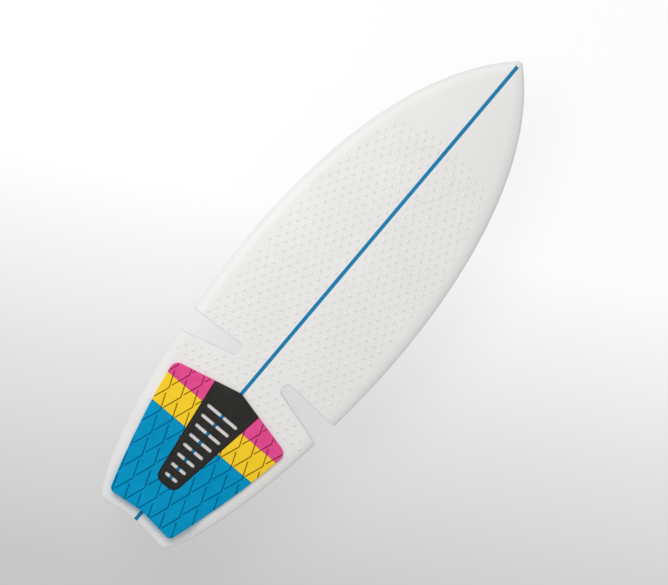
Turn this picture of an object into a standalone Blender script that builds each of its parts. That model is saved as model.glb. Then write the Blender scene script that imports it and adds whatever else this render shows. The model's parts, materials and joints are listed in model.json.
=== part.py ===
"""Surf-style caster board: one moulded deck that twists at its neck, on two inclined swivel casters.

Metres, +Z up, nose towards +X, left side +Y. The origin is on the floor, under the middle of the board.
Run it with: blender --background --python part.py
"""

import math

import bmesh
import bpy
import numpy as np
from mathutils import Matrix, Vector

# Clearance between pieces that rest on or run in each other
GAP = 0.0003

# Deck outline, seen from above
BOARD_LENGTH = 0.857
BOARD_WIDTH = 0.2766
NOSE_ROUND = 0.007
NOSE_ANGLE = math.radians(48.6)
NOSE_PULL = 0.159
WIDEST_FORWARD_PULL = 0.100
WIDEST_BACK_PULL = 0.173
TAIL_PULL = 0.068
TAIL_ANGLE = math.radians(35.6)
TAIL_ROUND = 0.012
TAIL_CORNER_Y = 0.052
TAIL_NOTCH = 0.006
SIDE_STEPS = 16
CORNER_STEPS = 5

# Deck section
SKIN = 0.0045
SKIRT_DEPTH = 0.022
SKIRT_WALL = 0.005
RAIL_WIDTH = 0.017
RAIL_HEIGHT = 0.008
TAIL_RAIL_WIDTH = 0.0105
TAIL_RAIL_RUN = 0.070
NOSE_RAIL_SHARE = 0.72
LIP_ROUND = 0.0015
RIB = 0.003
RIB_LINES = (0.022, 0.072)
RIB_PITCH = 0.062
SOLID_NOSE = 0.030
SOLID_TAIL = 0.012

# Rocker: how far the two ends rise, how long the rise is, and how much thinner the ends get
NOSE_RISE = 0.022
NOSE_RUN = 0.166
NOSE_THINNING = 0.006
TAIL_RISE = 0.010
TAIL_RUN = 0.098
TAIL_THINNING = 0.004
ROCKER_STEPS = 6

# Neck slots and the plane where the deck twists
NECK_X = -0.142
NECK_HALF = 0.040
SLOT_WIDTH = 0.017
SLOT_FRONT_LEAN = math.radians(3.1)
SLOT_REAR_LEAN = math.radians(15.7)
SLOT_ROUND = 0.0080
NECK_WALL = 0.004

# Stringer stripe, let into the top
STRINGER_WIDTH = 0.0055
STRINGER_THICKNESS = 0.0009
STRINGER_NOSE_MARGIN = 0.014
STRINGER_TAIL_MARGIN = 0.018

# Traction pad on the tail
PAD_TAIL_INSET = 0.0175
PAD_TAIL_MARGIN = 0.0139
PAD_WAIST_X = -0.360
PAD_WAIST_MARGIN = 0.0188
PAD_FRONT_MARGIN = 0.0180
PAD_THICKNESS = 0.004
CENTRE_THICKNESS = 0.0022
PAD_FRONT_CORNER_X = -0.2125
PAD_APEX_X = -0.1875
PAD_TAIL_ROUND = 0.008
PAD_FRONT_ROUND = 0.012
BLUE_END_X = -0.275
YELLOW_END_X = -0.231
KICK_START_X = -0.355
KICK_RUN = 0.035
KICK_HEIGHT = 0.009
KICK_STEPS = 5
CENTRE_TAIL_X = -0.3575
CENTRE_TAIL_HALF = 0.0175
CENTRE_FRONT_HALF = 0.041
CENTRE_TAIL_ROUND = 0.013
PAD_SLOTS = 8
PAD_SLOT_FIRST_X = -0.3432
PAD_SLOT_PITCH = 0.0161
PAD_SLOT_WIDTH = 0.005
PAD_SLOT_MARGIN = 0.0086

# Caster: inclined swivel axis, wheel and the trail between them
SWIVEL_TILT = math.radians(30)
TRAIL = 0.027
WHEEL_RADIUS = 0.038
WHEEL_WIDTH = 0.024
TREAD_WIDTH = 0.010
TREAD_ROUND = 0.006
WHEEL_CLEARANCE = 0.0025
CORE_RADIUS = 0.024
CORE_WIDTH = 0.020
WEB_WIDTH = 0.010
HUB_WALL = 0.003
CORE_RIM = 0.004

# Wheel bearings, a common cartridge size
BEARING_RADIUS = 0.011
BEARING_BORE = 0.004
BEARING_WIDTH = 0.007
RACE_WALL = 0.0016
SEAL_THICKNESS = 0.0008
WHEEL_BALLS = 7
WHEEL_CAGE_WIDTH = 0.0013
WHEEL_CAGE_THICKNESS = 0.0008

# Truck positions along the board, at the centre of each mounting flange
FRONT_TRUCK_X = 0.222
REAR_TRUCK_X = -0.290

# Mounting wedge
BOSS_RADIUS = 0.039
BOSS_DEPTH = 0.0112
FLANGE_THICKNESS = 0.004
FLANGE_INSET = 0.0005
FLANGE_SETBACK = 0.0085
BARREL_RADIUS = 0.023
BARREL_FLARE = 0.003
BARREL_NECK = 0.0045
NUT_SEAT = 0.010
NUT_POCKET_PLAY = 0.002

# Screws that hold the wedge to the deck
SCREW_CIRCLE = 0.0335
SCREW_ANGLES = (50, 125, -125, -50)
SCREW_RADIUS = 0.0025
SCREW_HEAD_RADIUS = 0.0042
SCREW_HEAD = 0.003
SCREW_CROWN = 0.001
SCREW_SOCKET_RADIUS = 0.0018
SCREW_SOCKET = 0.0016
SCREW_BITE = 0.0095

# Swivel bearing and kingpin
RACE_RADIUS = 0.020
RACE_BORE = 0.006
RACE_THICKNESS = 0.0018
RACE_LIP = 0.0012
SWIVEL_BALL = 0.004
SWIVEL_BALLS = 10
CAGE_WIDTH = 0.003
CAGE_THICKNESS = 0.0012
KINGPIN_RADIUS = 0.004
KINGPIN_WASHER_RADIUS = 0.0085
KINGPIN_WASHER = 0.0012
BOLT_HEAD_RADIUS = 0.0075
BOLT_HEAD = 0.004
NUT_THICKNESS = 0.0065
THREAD_SHOWING = 0.0015

# Fork
CROWN_THICKNESS = 0.005
CROWN_EDGE = 0.004
LEG_THICKNESS = 0.003
LEG_TOP_HALF = 0.013
LEG_EYE = 0.011
SIDE_CLEARANCE = 0.003
AXLE_WASHER_RADIUS = 0.0062

# Sides of round pieces, and steps across rounded edges
ROUND = 40
CORE_ROUND = 24
RACE_ROUND = 24
SHAFT_ROUND = 16
SCREW_ROUND = 12
BALL_SIDES = 6
BALL_RINGS = 4
RAIL_STEPS = 4
LIP_STEPS = 1
PAD_SLOT_STEPS = 3

# Heights along the swivel axis, measured down from the wedge's face
UPPER_RACE_TOP = GAP
BALLS_TOP = UPPER_RACE_TOP + RACE_THICKNESS + GAP
LOWER_RACE_TOP = BALLS_TOP + SWIVEL_BALL + GAP
CROWN_TOP = LOWER_RACE_TOP + RACE_THICKNESS + GAP
CROWN_BOTTOM = CROWN_TOP + CROWN_THICKNESS
WASHER_TOP = CROWN_BOTTOM + GAP
HEAD_TOP = WASHER_TOP + KINGPIN_WASHER + GAP
HEAD_BOTTOM = HEAD_TOP + BOLT_HEAD
SWEPT_RADIUS = WHEEL_RADIUS + WHEEL_CLEARANCE
HEAD_REACH = TRAIL - BOLT_HEAD_RADIUS
AXLE_DROP = max(
    CROWN_BOTTOM + SWEPT_RADIUS,
    HEAD_BOTTOM + math.sqrt(max(SWEPT_RADIUS**2 - HEAD_REACH**2, 0)),
)

# The axle in the swivel's frame, and the turn that lays an upright piece along the axle
AXLE_IN_SWIVEL = Vector((-TRAIL, 0, -AXLE_DROP))
LYING = Matrix.Rotation(math.radians(-90), 4, "X")

# Places across the wheel, measured from its middle, and the crown that reaches over both legs
LEG_INNER = WHEEL_WIDTH / 2 + SIDE_CLEARANCE
LEG_OUTER = LEG_INNER + LEG_THICKNESS
BEARING_SEAT = WHEEL_WIDTH / 2 - BEARING_WIDTH - GAP
CROWN_RADIUS = LEG_OUTER + CROWN_EDGE

# Heights above the floor
FACE_Z = WHEEL_RADIUS + AXLE_DROP * math.cos(SWIVEL_TILT) - TRAIL * math.sin(SWIVEL_TILT)
FLANGE_BOTTOM = FACE_Z + BARREL_RADIUS * math.sin(SWIVEL_TILT) + BARREL_NECK
FLANGE_TOP = FLANGE_BOTTOM + FLANGE_THICKNESS
BOSS_BOTTOM = FLANGE_TOP + GAP
DECK_TOP = BOSS_BOTTOM + BOSS_DEPTH + SKIN
DECK_BOTTOM = DECK_TOP - SKIRT_DEPTH
FLANGE_RADIUS = BOSS_RADIUS - FLANGE_INSET
TWIST_Z = (DECK_TOP + DECK_BOTTOM) / 2

NOSE_X = BOARD_LENGTH / 2
TAIL_X = -BOARD_LENGTH / 2
NOTCH_X = TAIL_X + TAIL_NOTCH
BEYOND = 0.05


def cleared_scene():
    """An empty scene with one collection for the parts."""
    for obj in list(bpy.data.objects):
        bpy.data.objects.remove(obj)
    parts = bpy.data.collections.new("caster_board")
    bpy.context.scene.collection.children.link(parts)
    return parts


PARTS = cleared_scene()


def material(name, colour, roughness, metallic=0.0):
    made = bpy.data.materials.new(name)
    made.use_nodes = True
    shader = made.node_tree.nodes["Principled BSDF"]
    shader.inputs["Base Color"].default_value = (*colour, 1)
    shader.inputs["Roughness"].default_value = roughness
    shader.inputs["Metallic"].default_value = metallic
    return made


DECK_WHITE = material("deck_white_polymer", (0.82, 0.81, 0.79), 0.40)
STRIPE_BLUE = material("stringer_blue_vinyl", (0.015, 0.22, 0.42), 0.35)
PAD_BLUE = material("pad_blue_foam", (0.003, 0.27, 0.56), 0.70)
PAD_YELLOW = material("pad_yellow_foam", (0.95, 0.65, 0.02), 0.70)
PAD_PINK = material("pad_pink_foam", (0.78, 0.07, 0.27), 0.70)
PAD_BLACK = material("pad_black_rubber", (0.025, 0.022, 0.020), 0.65)
WEDGE_BLACK = material("wedge_black_nylon", (0.03, 0.03, 0.032), 0.50)
FORK_STEEL = material("fork_zinc_steel", (0.58, 0.58, 0.60), 0.30, 1.0)
BOLT_STEEL = material("bolt_zinc_steel", (0.62, 0.62, 0.60), 0.35, 1.0)
BEARING_STEEL = material("bearing_steel", (0.66, 0.66, 0.68), 0.20, 1.0)
WHEEL_CORE = material("wheel_core_nylon", (0.80, 0.80, 0.79), 0.40)
WHEEL_TYRE = material("wheel_urethane", (0.01, 0.25, 0.52), 0.32)


def add(mesh, name):
    obj = bpy.data.objects.new(name, mesh)
    PARTS.objects.link(obj)
    return obj


def settled(obj):
    """The object with its evaluated mesh as its own, and its modifiers used up."""
    graph = bpy.context.evaluated_depsgraph_get()
    obj.data = bpy.data.meshes.new_from_object(obj.evaluated_get(graph))
    obj.modifiers.clear()
    return obj


def boolean(target, other, operation):
    """Cuts, joins or intersects the target with the other object, which is used up."""
    modifier = target.modifiers.new("boolean", "BOOLEAN")
    modifier.operation = operation
    modifier.object = other
    settled(target)
    bpy.data.objects.remove(other)
    return target


def cut(target, other):
    return boolean(target, other, "DIFFERENCE")


def joined(target, other):
    return boolean(target, other, "UNION")


def common(target, other):
    return boolean(target, other, "INTERSECT")


def copied(obj, name):
    return add(obj.data.copy(), name)


def plate(name, outline, low, high):
    """A flat plate with this outline, between two heights."""
    curve = bpy.data.curves.new(name, "CURVE")
    curve.dimensions = "2D"
    curve.fill_mode = "BOTH"
    curve.extrude = (high - low) / 2
    spline = curve.splines.new("POLY")
    spline.points.add(len(outline) - 1)
    for point, (x, y) in zip(spline.points, outline):
        point.co = (x, y, 0, 1)
    spline.use_cyclic_u = True
    drawn = add(curve, name + "_outline")
    graph = bpy.context.evaluated_depsgraph_get()
    mesh = bpy.data.meshes.new_from_object(drawn.evaluated_get(graph))
    bpy.data.objects.remove(drawn)
    shape = bmesh.new()
    shape.from_mesh(mesh)
    bmesh.ops.remove_doubles(shape, verts=shape.verts, dist=1e-6)
    bmesh.ops.dissolve_limit(shape, angle_limit=math.radians(0.5), verts=shape.verts, edges=shape.edges)
    bmesh.ops.translate(shape, verts=shape.verts, vec=(0, 0, (low + high) / 2))
    bmesh.ops.recalc_face_normals(shape, faces=shape.faces)
    shape.to_mesh(mesh)
    shape.free()
    return add(mesh, name)


def block(name, low, high):
    """A box between two corners."""
    low, high = Vector(low), Vector(high)
    shape = bmesh.new()
    placed = Matrix.Translation((low + high) / 2) @ Matrix.Diagonal((*(high - low), 1))
    bmesh.ops.create_cube(shape, size=1, matrix=placed)
    mesh = bpy.data.meshes.new(name)
    shape.to_mesh(mesh)
    shape.free()
    return add(mesh, name)


def cylinder(name, radius, low, high, sides, top_radius=None, centre=(0, 0)):
    """An upright cylinder, or a cone with a second radius at its top."""
    shape = bmesh.new()
    bmesh.ops.create_cone(
        shape,
        cap_ends=True,
        segments=sides,
        radius1=radius,
        radius2=radius if top_radius is None else top_radius,
        depth=high - low,
        matrix=Matrix.Translation((*centre, (low + high) / 2)),
    )
    mesh = bpy.data.meshes.new(name)
    shape.to_mesh(mesh)
    shape.free()
    return add(mesh, name)


def turned(name, profile, sides):
    """A ring turned about Z from a closed profile of (radius, height), which runs down its outer side."""
    mesh = bpy.data.meshes.new(name)
    points = [(radius, 0, height) for radius, height in profile]
    edges = [(i, (i + 1) % len(points)) for i in range(len(points))]
    mesh.from_pydata(points, edges, [])
    ring = add(mesh, name)
    screw = ring.modifiers.new("turn", "SCREW")
    screw.steps = screw.render_steps = sides
    screw.use_merge_vertices = True
    screw.merge_threshold = 1e-6
    return settled(ring)


def ring(name, inner, outer, low, high, sides=SHAFT_ROUND):
    return turned(name, [(outer, high), (outer, low), (inner, low), (inner, high)], sides)


def moved(obj, matrix):
    obj.data.transform(matrix)
    return obj


def arc(corner, before, after, radius, steps):
    """Points of a fillet of this radius in the corner between two neighbours."""
    corner, before, after = (np.array(p, float) for p in (corner, before, after))
    to_before = (before - corner) / np.linalg.norm(before - corner)
    to_after = (after - corner) / np.linalg.norm(after - corner)
    half = math.acos(float(np.clip(to_before @ to_after, -1, 1))) / 2
    middle = to_before + to_after
    centre = corner + middle / np.linalg.norm(middle) * radius / math.sin(half)
    start = corner + to_before * radius / math.tan(half) - centre
    end = corner + to_after * radius / math.tan(half) - centre
    turn = math.pi - 2 * half
    points = []
    for i in range(steps + 1):
        share = i / steps
        mixed = start * math.sin((1 - share) * turn) + end * math.sin(share * turn)
        points.append(tuple(centre + mixed / math.sin(turn)))
    return points


def rounded(outline, radii, steps=CORNER_STEPS):
    """An outline with a fillet in each corner that has a radius."""
    points = []
    count = len(outline)
    for i, (corner, radius) in enumerate(zip(outline, radii)):
        if radius > 0:
            points += arc(corner, outline[i - 1], outline[(i + 1) % count], radius, steps)
        else:
            points.append(corner)
    return points


def mirrored(half):
    """A closed outline from its left half, whose first and last points are on the centre line."""
    return list(half) + [(x, -y) for x, y in reversed(half[1:-1])]


def bezier(start, pull_start, pull_end, end, steps):
    """Points along a Bezier curve, without its last one."""
    p0, p1, p2, p3 = (np.array(p, float) for p in (start, pull_start, pull_end, end))
    points = []
    for i in range(steps):
        t = i / steps
        point = (1 - t) ** 3 * p0 + 3 * (1 - t) ** 2 * t * p1 + 3 * (1 - t) * t**2 * p2 + t**3 * p3
        points.append(tuple(point))
    return points


def circle_points(centre, radius, start, end, steps):
    """Points along an arc of a circle, both ends included."""
    turns = [start + (end - start) * i / steps for i in range(steps + 1)]
    return [(centre[0] + radius * math.cos(t), centre[1] + radius * math.sin(t)) for t in turns]


def deck_half():
    """The deck's left edge as points from the nose tip to the tail notch."""
    quarter = math.pi / 2
    nose = circle_points((NOSE_X - NOSE_ROUND, 0), NOSE_ROUND, 0, quarter - NOSE_ANGLE, CORNER_STEPS)
    corner = (TAIL_X + TAIL_ROUND, TAIL_CORNER_Y)
    across, along = corner[1], TAIL_ROUND - TAIL_NOTCH
    lean = math.atan2(across, along) - math.acos(TAIL_ROUND / math.hypot(across, along))
    tail = circle_points(corner, TAIL_ROUND, quarter + TAIL_ANGLE, math.pi + lean, CORNER_STEPS)
    shoulder, hip = nose.pop(), tail[0]
    nose_reach = (NOSE_PULL * math.cos(NOSE_ANGLE), NOSE_PULL * math.sin(NOSE_ANGLE))
    nose_pull = (shoulder[0] - nose_reach[0], shoulder[1] + nose_reach[1])
    tail_pull = (hip[0] + TAIL_PULL * math.cos(TAIL_ANGLE), hip[1] + TAIL_PULL * math.sin(TAIL_ANGLE))
    half_width = BOARD_WIDTH / 2
    front = bezier(shoulder, nose_pull, (WIDEST_FORWARD_PULL, half_width), (0, half_width), SIDE_STEPS)
    rear = bezier((0, half_width), (-WIDEST_BACK_PULL, half_width), tail_pull, hip, SIDE_STEPS)
    return nose + front + rear + tail + [(NOTCH_X, 0)]


DECK_HALF = deck_half()


def half_width(x):
    """Half of the deck's width at a place along it."""
    edge = sorted(DECK_HALF)
    return float(np.interp(x, [p[0] for p in edge], [p[1] for p in edge]))


def inset(outline, by):
    """The outline moved inwards, by one number or by one for each point; it runs anticlockwise."""
    points = np.array(outline, float)
    before = points - np.roll(points, 1, axis=0)
    after = np.roll(points, -1, axis=0) - points
    moved_in = []
    for point, a, b, distance in zip(points, before, after, np.broadcast_to(by, len(points))):
        normal_a = np.array((-a[1], a[0])) / np.linalg.norm(a)
        normal_b = np.array((-b[1], b[0])) / np.linalg.norm(b)
        middle = normal_a + normal_b
        moved_in.append(tuple(point + middle * distance * 2 / (middle @ middle)))
    return moved_in


def rail_width(x, y):
    """The rail's width at a point of the edge, less where the nose and the tail's corners leave no room."""
    nose = max(abs(y) / math.cos(NOSE_ANGLE), NOSE_ROUND) * NOSE_RAIL_SHARE if x > 0 else RAIL_WIDTH
    from_tail = (x - TAIL_X) / TAIL_RAIL_RUN
    tail = float(np.interp(from_tail, (0.3, 1), (TAIL_RAIL_WIDTH, RAIL_WIDTH)))
    return min(RAIL_WIDTH, nose, tail)


def stacked(name, rows):
    """A closed body from rows of points with the same count, from its bottom to its top."""
    shape = bmesh.new()
    made = [[shape.verts.new(point) for point in row] for row in rows]
    count = len(rows[0])
    for lower, upper in zip(made, made[1:]):
        for i in range(count):
            j = (i + 1) % count
            shape.faces.new((lower[i], lower[j], upper[j], upper[i]))
    shape.faces.new(made[0][::-1])
    shape.faces.new(made[-1])
    bmesh.ops.recalc_face_normals(shape, faces=shape.faces)
    mesh = bpy.data.meshes.new(name)
    shape.to_mesh(mesh)
    shape.free()
    return add(mesh, name)


def deck_body():
    """The deck before anything is cut out of it: a rounded lip, a side, and a rail that is part of an ellipse."""
    outline = mirrored(DECK_HALF)
    widths = np.array([rail_width(x, y) for x, y in outline])
    heights = np.minimum(widths, RAIL_HEIGHT)
    rows = []
    for i in range(LIP_STEPS + 1):
        turn = math.pi / 2 * i / LIP_STEPS
        level = DECK_BOTTOM + LIP_ROUND * (1 - math.cos(turn))
        rows.append([(x, y, level) for x, y in inset(outline, LIP_ROUND * (1 - math.sin(turn)))])
    for i in range(RAIL_STEPS + 1):
        turn = math.pi / 2 * i / RAIL_STEPS
        levels = DECK_TOP - heights * (1 - math.sin(turn))
        drawn_in = inset(outline, widths * (1 - math.cos(turn)))
        rows.append([(x, y, float(level)) for (x, y), level in zip(drawn_in, levels)])
    return stacked("deck", rows)


def slot_outline(side, grow=0.0):
    """One neck slot, open at the deck's edge, grown all round by a wall."""
    front = NECK_X + SLOT_WIDTH / 2 + grow
    rear = NECK_X - SLOT_WIDTH / 2 - grow
    inner = NECK_HALF - grow
    outer = BOARD_WIDTH / 2 + BEYOND
    reach = outer - inner
    corners = [
        (front, inner),
        (front - reach * math.tan(SLOT_FRONT_LEAN), outer),
        (rear - reach * math.tan(SLOT_REAR_LEAN), outer),
        (rear, inner),
    ]
    radius = min(SLOT_ROUND, SLOT_WIDTH * 0.48) + grow
    outline = rounded(corners, [radius, 0, 0, radius])
    return [(x, side * y) for x, y in outline]


def lift(x):
    """How far the rocker raises the top at a place along the deck."""
    forward = max(x - (NOSE_X - NOSE_RUN), 0) / NOSE_RUN
    back = max(TAIL_X + TAIL_RUN - x, 0) / TAIL_RUN
    return NOSE_RISE * forward**2 + TAIL_RISE * back**2


def thinning(x):
    """How much thinner the deck is there than at its middle."""
    forward = max(x - (NOSE_X - NOSE_RUN), 0) / NOSE_RUN
    back = max(TAIL_X + TAIL_RUN - x, 0) / TAIL_RUN
    return NOSE_THINNING * forward**2 + TAIL_THINNING * back**2


ROCKER_X = [TAIL_X + TAIL_RUN * i / ROCKER_STEPS for i in range(ROCKER_STEPS + 1)]
ROCKER_X += [NOSE_X - NOSE_RUN * (1 - i / ROCKER_STEPS) for i in range(ROCKER_STEPS + 1)]
ROCKER_LIFT = [lift(x) for x in ROCKER_X]
ROCKER_THIN = [thinning(x) for x in ROCKER_X]


def sliced(shape, places):
    """Cuts the mesh's faces at places along X, so that it can bend there."""
    for x in places:
        bmesh.ops.bisect_plane(
            shape,
            geom=list(shape.verts) + list(shape.edges) + list(shape.faces),
            dist=1e-7,
            plane_co=(x, 0, 0),
            plane_no=(1, 0, 0),
        )


def rockered(obj):
    """The object bent up towards the nose and the tail with the deck."""
    shape = bmesh.new()
    shape.from_mesh(obj.data)
    bmesh.ops.remove_doubles(shape, verts=shape.verts, dist=1e-6)
    low = min(v.co.x for v in shape.verts)
    high = max(v.co.x for v in shape.verts)
    sliced(shape, [x for x in ROCKER_X if low < x < high])
    for v in shape.verts:
        depth = max(DECK_TOP - v.co.z, 0) / SKIRT_DEPTH
        thin = float(np.interp(v.co.x, ROCKER_X, ROCKER_THIN))
        v.co.z += float(np.interp(v.co.x, ROCKER_X, ROCKER_LIFT)) + thin * depth
    shape.to_mesh(obj.data)
    shape.free()
    return obj


def screw_places(truck_x):
    places = []
    for angle in map(math.radians, SCREW_ANGLES):
        places.append((truck_x + SCREW_CIRCLE * math.cos(angle), SCREW_CIRCLE * math.sin(angle)))
    return places


def deck_hollow():
    """The space under the deck's skin, between its skirt, ribs, bosses and neck walls."""
    under = DECK_BOTTOM - BEYOND
    hollow = plate("hollow", inset(mirrored(DECK_HALF), SKIRT_WALL), under, DECK_TOP - SKIN)
    side = BOARD_WIDTH
    nose_low, tail_high = (NOSE_X - SOLID_NOSE, -side, under - GAP), (NOTCH_X + SOLID_TAIL, side, DECK_TOP)
    cut(hollow, block("nose_block", nose_low, (NOSE_X + BEYOND, side, DECK_TOP)))
    cut(hollow, block("tail_block", (TAIL_X - BEYOND, -side, under - GAP), tail_high))
    half_neck = SLOT_WIDTH / 2
    neck_low = (NECK_X - half_neck, -side, under - GAP)
    cut(hollow, block("neck_bulkhead", neck_low, (NECK_X + half_neck, side, DECK_TOP)))
    for line in RIB_LINES:
        for y in (line, -line):
            low = (TAIL_X - BEYOND, y - RIB / 2, under - GAP)
            cut(hollow, block("long_rib", low, (NOSE_X + BEYOND, y + RIB / 2, DECK_TOP)))
    for truck_x, direction, end in ((FRONT_TRUCK_X, 1, NOSE_X), (REAR_TRUCK_X, -1, TAIL_X)):
        first = NECK_X + direction * (half_neck + RIB_PITCH)
        for x in np.arange(first, end, direction * RIB_PITCH):
            low = (x - RIB / 2, -side, under - GAP)
            cut(hollow, block("cross_rib", low, (x + RIB / 2, side, DECK_TOP)))
        cut(hollow, cylinder("boss", BOSS_RADIUS, under - GAP, DECK_TOP, ROUND, centre=(truck_x, 0)))
    for way in (1, -1):
        cut(hollow, plate("slot_wall", slot_outline(way, NECK_WALL), under - GAP, DECK_TOP))
    return hollow


def stringer_outline(grow):
    low = TAIL_X + STRINGER_TAIL_MARGIN - grow
    high = NOSE_X - STRINGER_NOSE_MARGIN + grow
    half = STRINGER_WIDTH / 2 + grow
    return [(low, -half), (high, -half), (high, half), (low, half)]


def whole_deck():
    """The deck in one piece and still flat, with its slots, hollow, screw holes and stringer groove."""
    deck = deck_body()
    cut(deck, deck_hollow())
    for side in (1, -1):
        cut(deck, plate("neck_slot", slot_outline(side), DECK_BOTTOM - BEYOND, DECK_TOP + BEYOND))
    for truck_x in (FRONT_TRUCK_X, REAR_TRUCK_X):
        pocket = (BOSS_RADIUS + SCREW_RADIUS, DECK_BOTTOM - BEYOND, BOSS_BOTTOM)
        cut(deck, cylinder("flange_pocket", *pocket, ROUND, centre=(truck_x, 0)))
        for place in screw_places(truck_x):
            hole = (SCREW_RADIUS + GAP, BOSS_BOTTOM - BEYOND, BOSS_BOTTOM + SCREW_BITE + GAP)
            cut(deck, cylinder("screw_hole", *hole, SCREW_ROUND, centre=place))
    groove = plate("groove", stringer_outline(GAP), DECK_TOP - STRINGER_THICKNESS - GAP, DECK_TOP + BEYOND)
    return cut(deck, groove)


def split(whole, front_name, rear_name):
    """The two halves of something that crosses the neck, with a gap where the deck twists."""
    side, under, over = BOARD_WIDTH, DECK_BOTTOM - BEYOND, DECK_TOP + BEYOND
    rear = copied(whole, rear_name)
    front = copied(whole, front_name)
    bpy.data.objects.remove(whole)
    edge = NECK_X + GAP / 2
    common(front, block("front_side", (edge, -side, under), (NOSE_X + BEYOND, side, over)))
    edge = NECK_X - GAP / 2
    common(rear, block("rear_side", (TAIL_X - BEYOND, -side, under), (edge, side, over)))
    return rockered(front), rockered(rear)


def pad_half():
    """The pad's left edge, which follows the deck's edge at a margin that is widest at its waist."""
    tail_x = TAIL_X + PAD_TAIL_INSET
    stretch = PAD_FRONT_CORNER_X - tail_x
    half = [(NOTCH_X + PAD_TAIL_INSET, 0)]
    for share in (0, 0.2, 0.4, 0.6, 0.8, 1):
        x = tail_x + share * stretch
        places = (tail_x, PAD_WAIST_X, PAD_FRONT_CORNER_X)
        margin = float(np.interp(x, places, (PAD_TAIL_MARGIN, PAD_WAIST_MARGIN, PAD_FRONT_MARGIN)))
        half.append((x, half_width(x) - margin))
    half.append((PAD_APEX_X, 0))
    return half


PAD_HALF = pad_half()


def pad_outline():
    half = PAD_HALF
    outline = mirrored(half)
    radii = [0] * len(outline)
    radii[1] = radii[-1] = PAD_TAIL_ROUND
    front = len(half) - 2
    radii[front] = radii[-front] = PAD_FRONT_ROUND
    return rounded(outline, radii)


def centre_front_x():
    """Where the centre piece's side meets the pad's front edge."""
    corner_x, corner_y = PAD_HALF[-2]
    return PAD_APEX_X + (corner_x - PAD_APEX_X) * CENTRE_FRONT_HALF / corner_y


CENTRE_LEAN = math.atan2(CENTRE_FRONT_HALF - CENTRE_TAIL_HALF, centre_front_x() - CENTRE_TAIL_X)


def centre_outline(grow=0.0):
    """The black centre piece, which runs past the pad's front edge and is trimmed by it."""
    tail_x = CENTRE_TAIL_X - grow
    side = grow / math.cos(CENTRE_LEAN)
    tail_half = CENTRE_TAIL_HALF + side - grow * math.tan(CENTRE_LEAN)
    front_x = PAD_APEX_X + BEYOND
    front_half = tail_half + (front_x - tail_x) * math.tan(CENTRE_LEAN)
    corners = [(tail_x, -tail_half), (front_x, -front_half), (front_x, front_half), (tail_x, tail_half)]
    radius = min(CENTRE_TAIL_ROUND, CENTRE_TAIL_HALF * 0.9) + grow
    return rounded(corners, [radius, 0, 0, radius])


def pad_slot_outline(x):
    half_length = CENTRE_TAIL_HALF + (x - CENTRE_TAIL_X) * math.tan(CENTRE_LEAN) - PAD_SLOT_MARGIN
    half = PAD_SLOT_WIDTH / 2
    low, high = x - half, x + half
    corners = [(low, -half_length), (high, -half_length), (high, half_length), (low, half_length)]
    return rounded(corners, [half * 0.98] * 4, PAD_SLOT_STEPS)


def kicked(obj):
    """The pad piece with its top raised into the kick at the tail."""
    middle = DECK_TOP + GAP + CENTRE_THICKNESS / 2
    places = [KICK_START_X - KICK_RUN * i / KICK_STEPS for i in range(KICK_STEPS + 1)]
    shape = bmesh.new()
    shape.from_mesh(obj.data)
    sliced(shape, places)
    heights = []
    for x in places:
        share = min(max((KICK_START_X - x) / KICK_RUN, 0), 1)
        heights.append(KICK_HEIGHT * share**2 * (3 - 2 * share))
    for v in shape.verts:
        if v.co.z > middle:
            v.co.z += float(np.interp(v.co.x, places[::-1], heights[::-1]))
    shape.to_mesh(obj.data)
    shape.free()
    return rockered(obj)


def pad_band(name, from_x, to_x, side=0):
    """The part of the pad in one colour band, outside the centre piece, on one side or on both."""
    low, high = DECK_TOP + GAP, DECK_TOP + GAP + PAD_THICKNESS
    under, over = DECK_BOTTOM, DECK_TOP + BEYOND
    from_y = 0 if side > 0 else -BOARD_WIDTH
    to_y = 0 if side < 0 else BOARD_WIDTH
    band = plate(name, pad_outline(), low, high)
    common(band, block("band", (from_x, from_y, under), (to_x, to_y, over)))
    cut(band, plate("centre_room", centre_outline(GAP), under, over))
    return kicked(band)


def centre_piece():
    """The thinner black piece down the middle of the pad, with its see-through slots."""
    low, high = DECK_TOP + GAP, DECK_TOP + GAP + CENTRE_THICKNESS
    piece = plate("pad_centre", pad_outline(), low, high)
    common(piece, plate("centre_shape", centre_outline(), DECK_BOTTOM, DECK_TOP + BEYOND))
    for i in range(PAD_SLOTS):
        x = PAD_SLOT_FIRST_X + i * PAD_SLOT_PITCH
        cut(piece, plate("pad_slot", pad_slot_outline(x), DECK_BOTTOM, DECK_TOP + BEYOND))
    return kicked(piece)


def swivel_frame(truck_x):
    """The frame of a caster: its Z runs up the swivel axis from the wedge's face."""
    face = Vector((truck_x - FLANGE_SETBACK, 0, FACE_Z))
    return Matrix.Translation(face) @ Matrix.Rotation(SWIVEL_TILT, 4, "Y")


def empty(name, matrix):
    made = bpy.data.objects.new(name, None)
    made.empty_display_size = 0.02
    PARTS.objects.link(made)
    made.matrix_world = matrix
    return made


def held(obj, parent, finish):
    """Puts the piece under its empty, in the empty's own frame, and gives it its material."""
    obj.parent = parent
    obj.data.materials.clear()
    obj.data.materials.append(finish)
    for polygon in obj.data.polygons:
        polygon.material_index = 0
    obj.data.shade_smooth()
    obj.data.set_sharp_from_angle(angle=math.radians(30))
    return obj


def held_in_place(obj, parent, finish):
    """Puts a piece that was modelled in the board's frame under its empty."""
    held(obj, parent, finish)
    obj.matrix_parent_inverse = parent.matrix_world.inverted()
    return obj


def hexagon(name, radius, low, high, hole=0.0):
    """A bolt head or, with a hole, a nut."""
    shape = cylinder(name, radius, low, high, 6)
    if hole > 0:
        cut(shape, cylinder("thread", hole, low - BEYOND, high + BEYOND, SHAFT_ROUND))
    return shape


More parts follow.
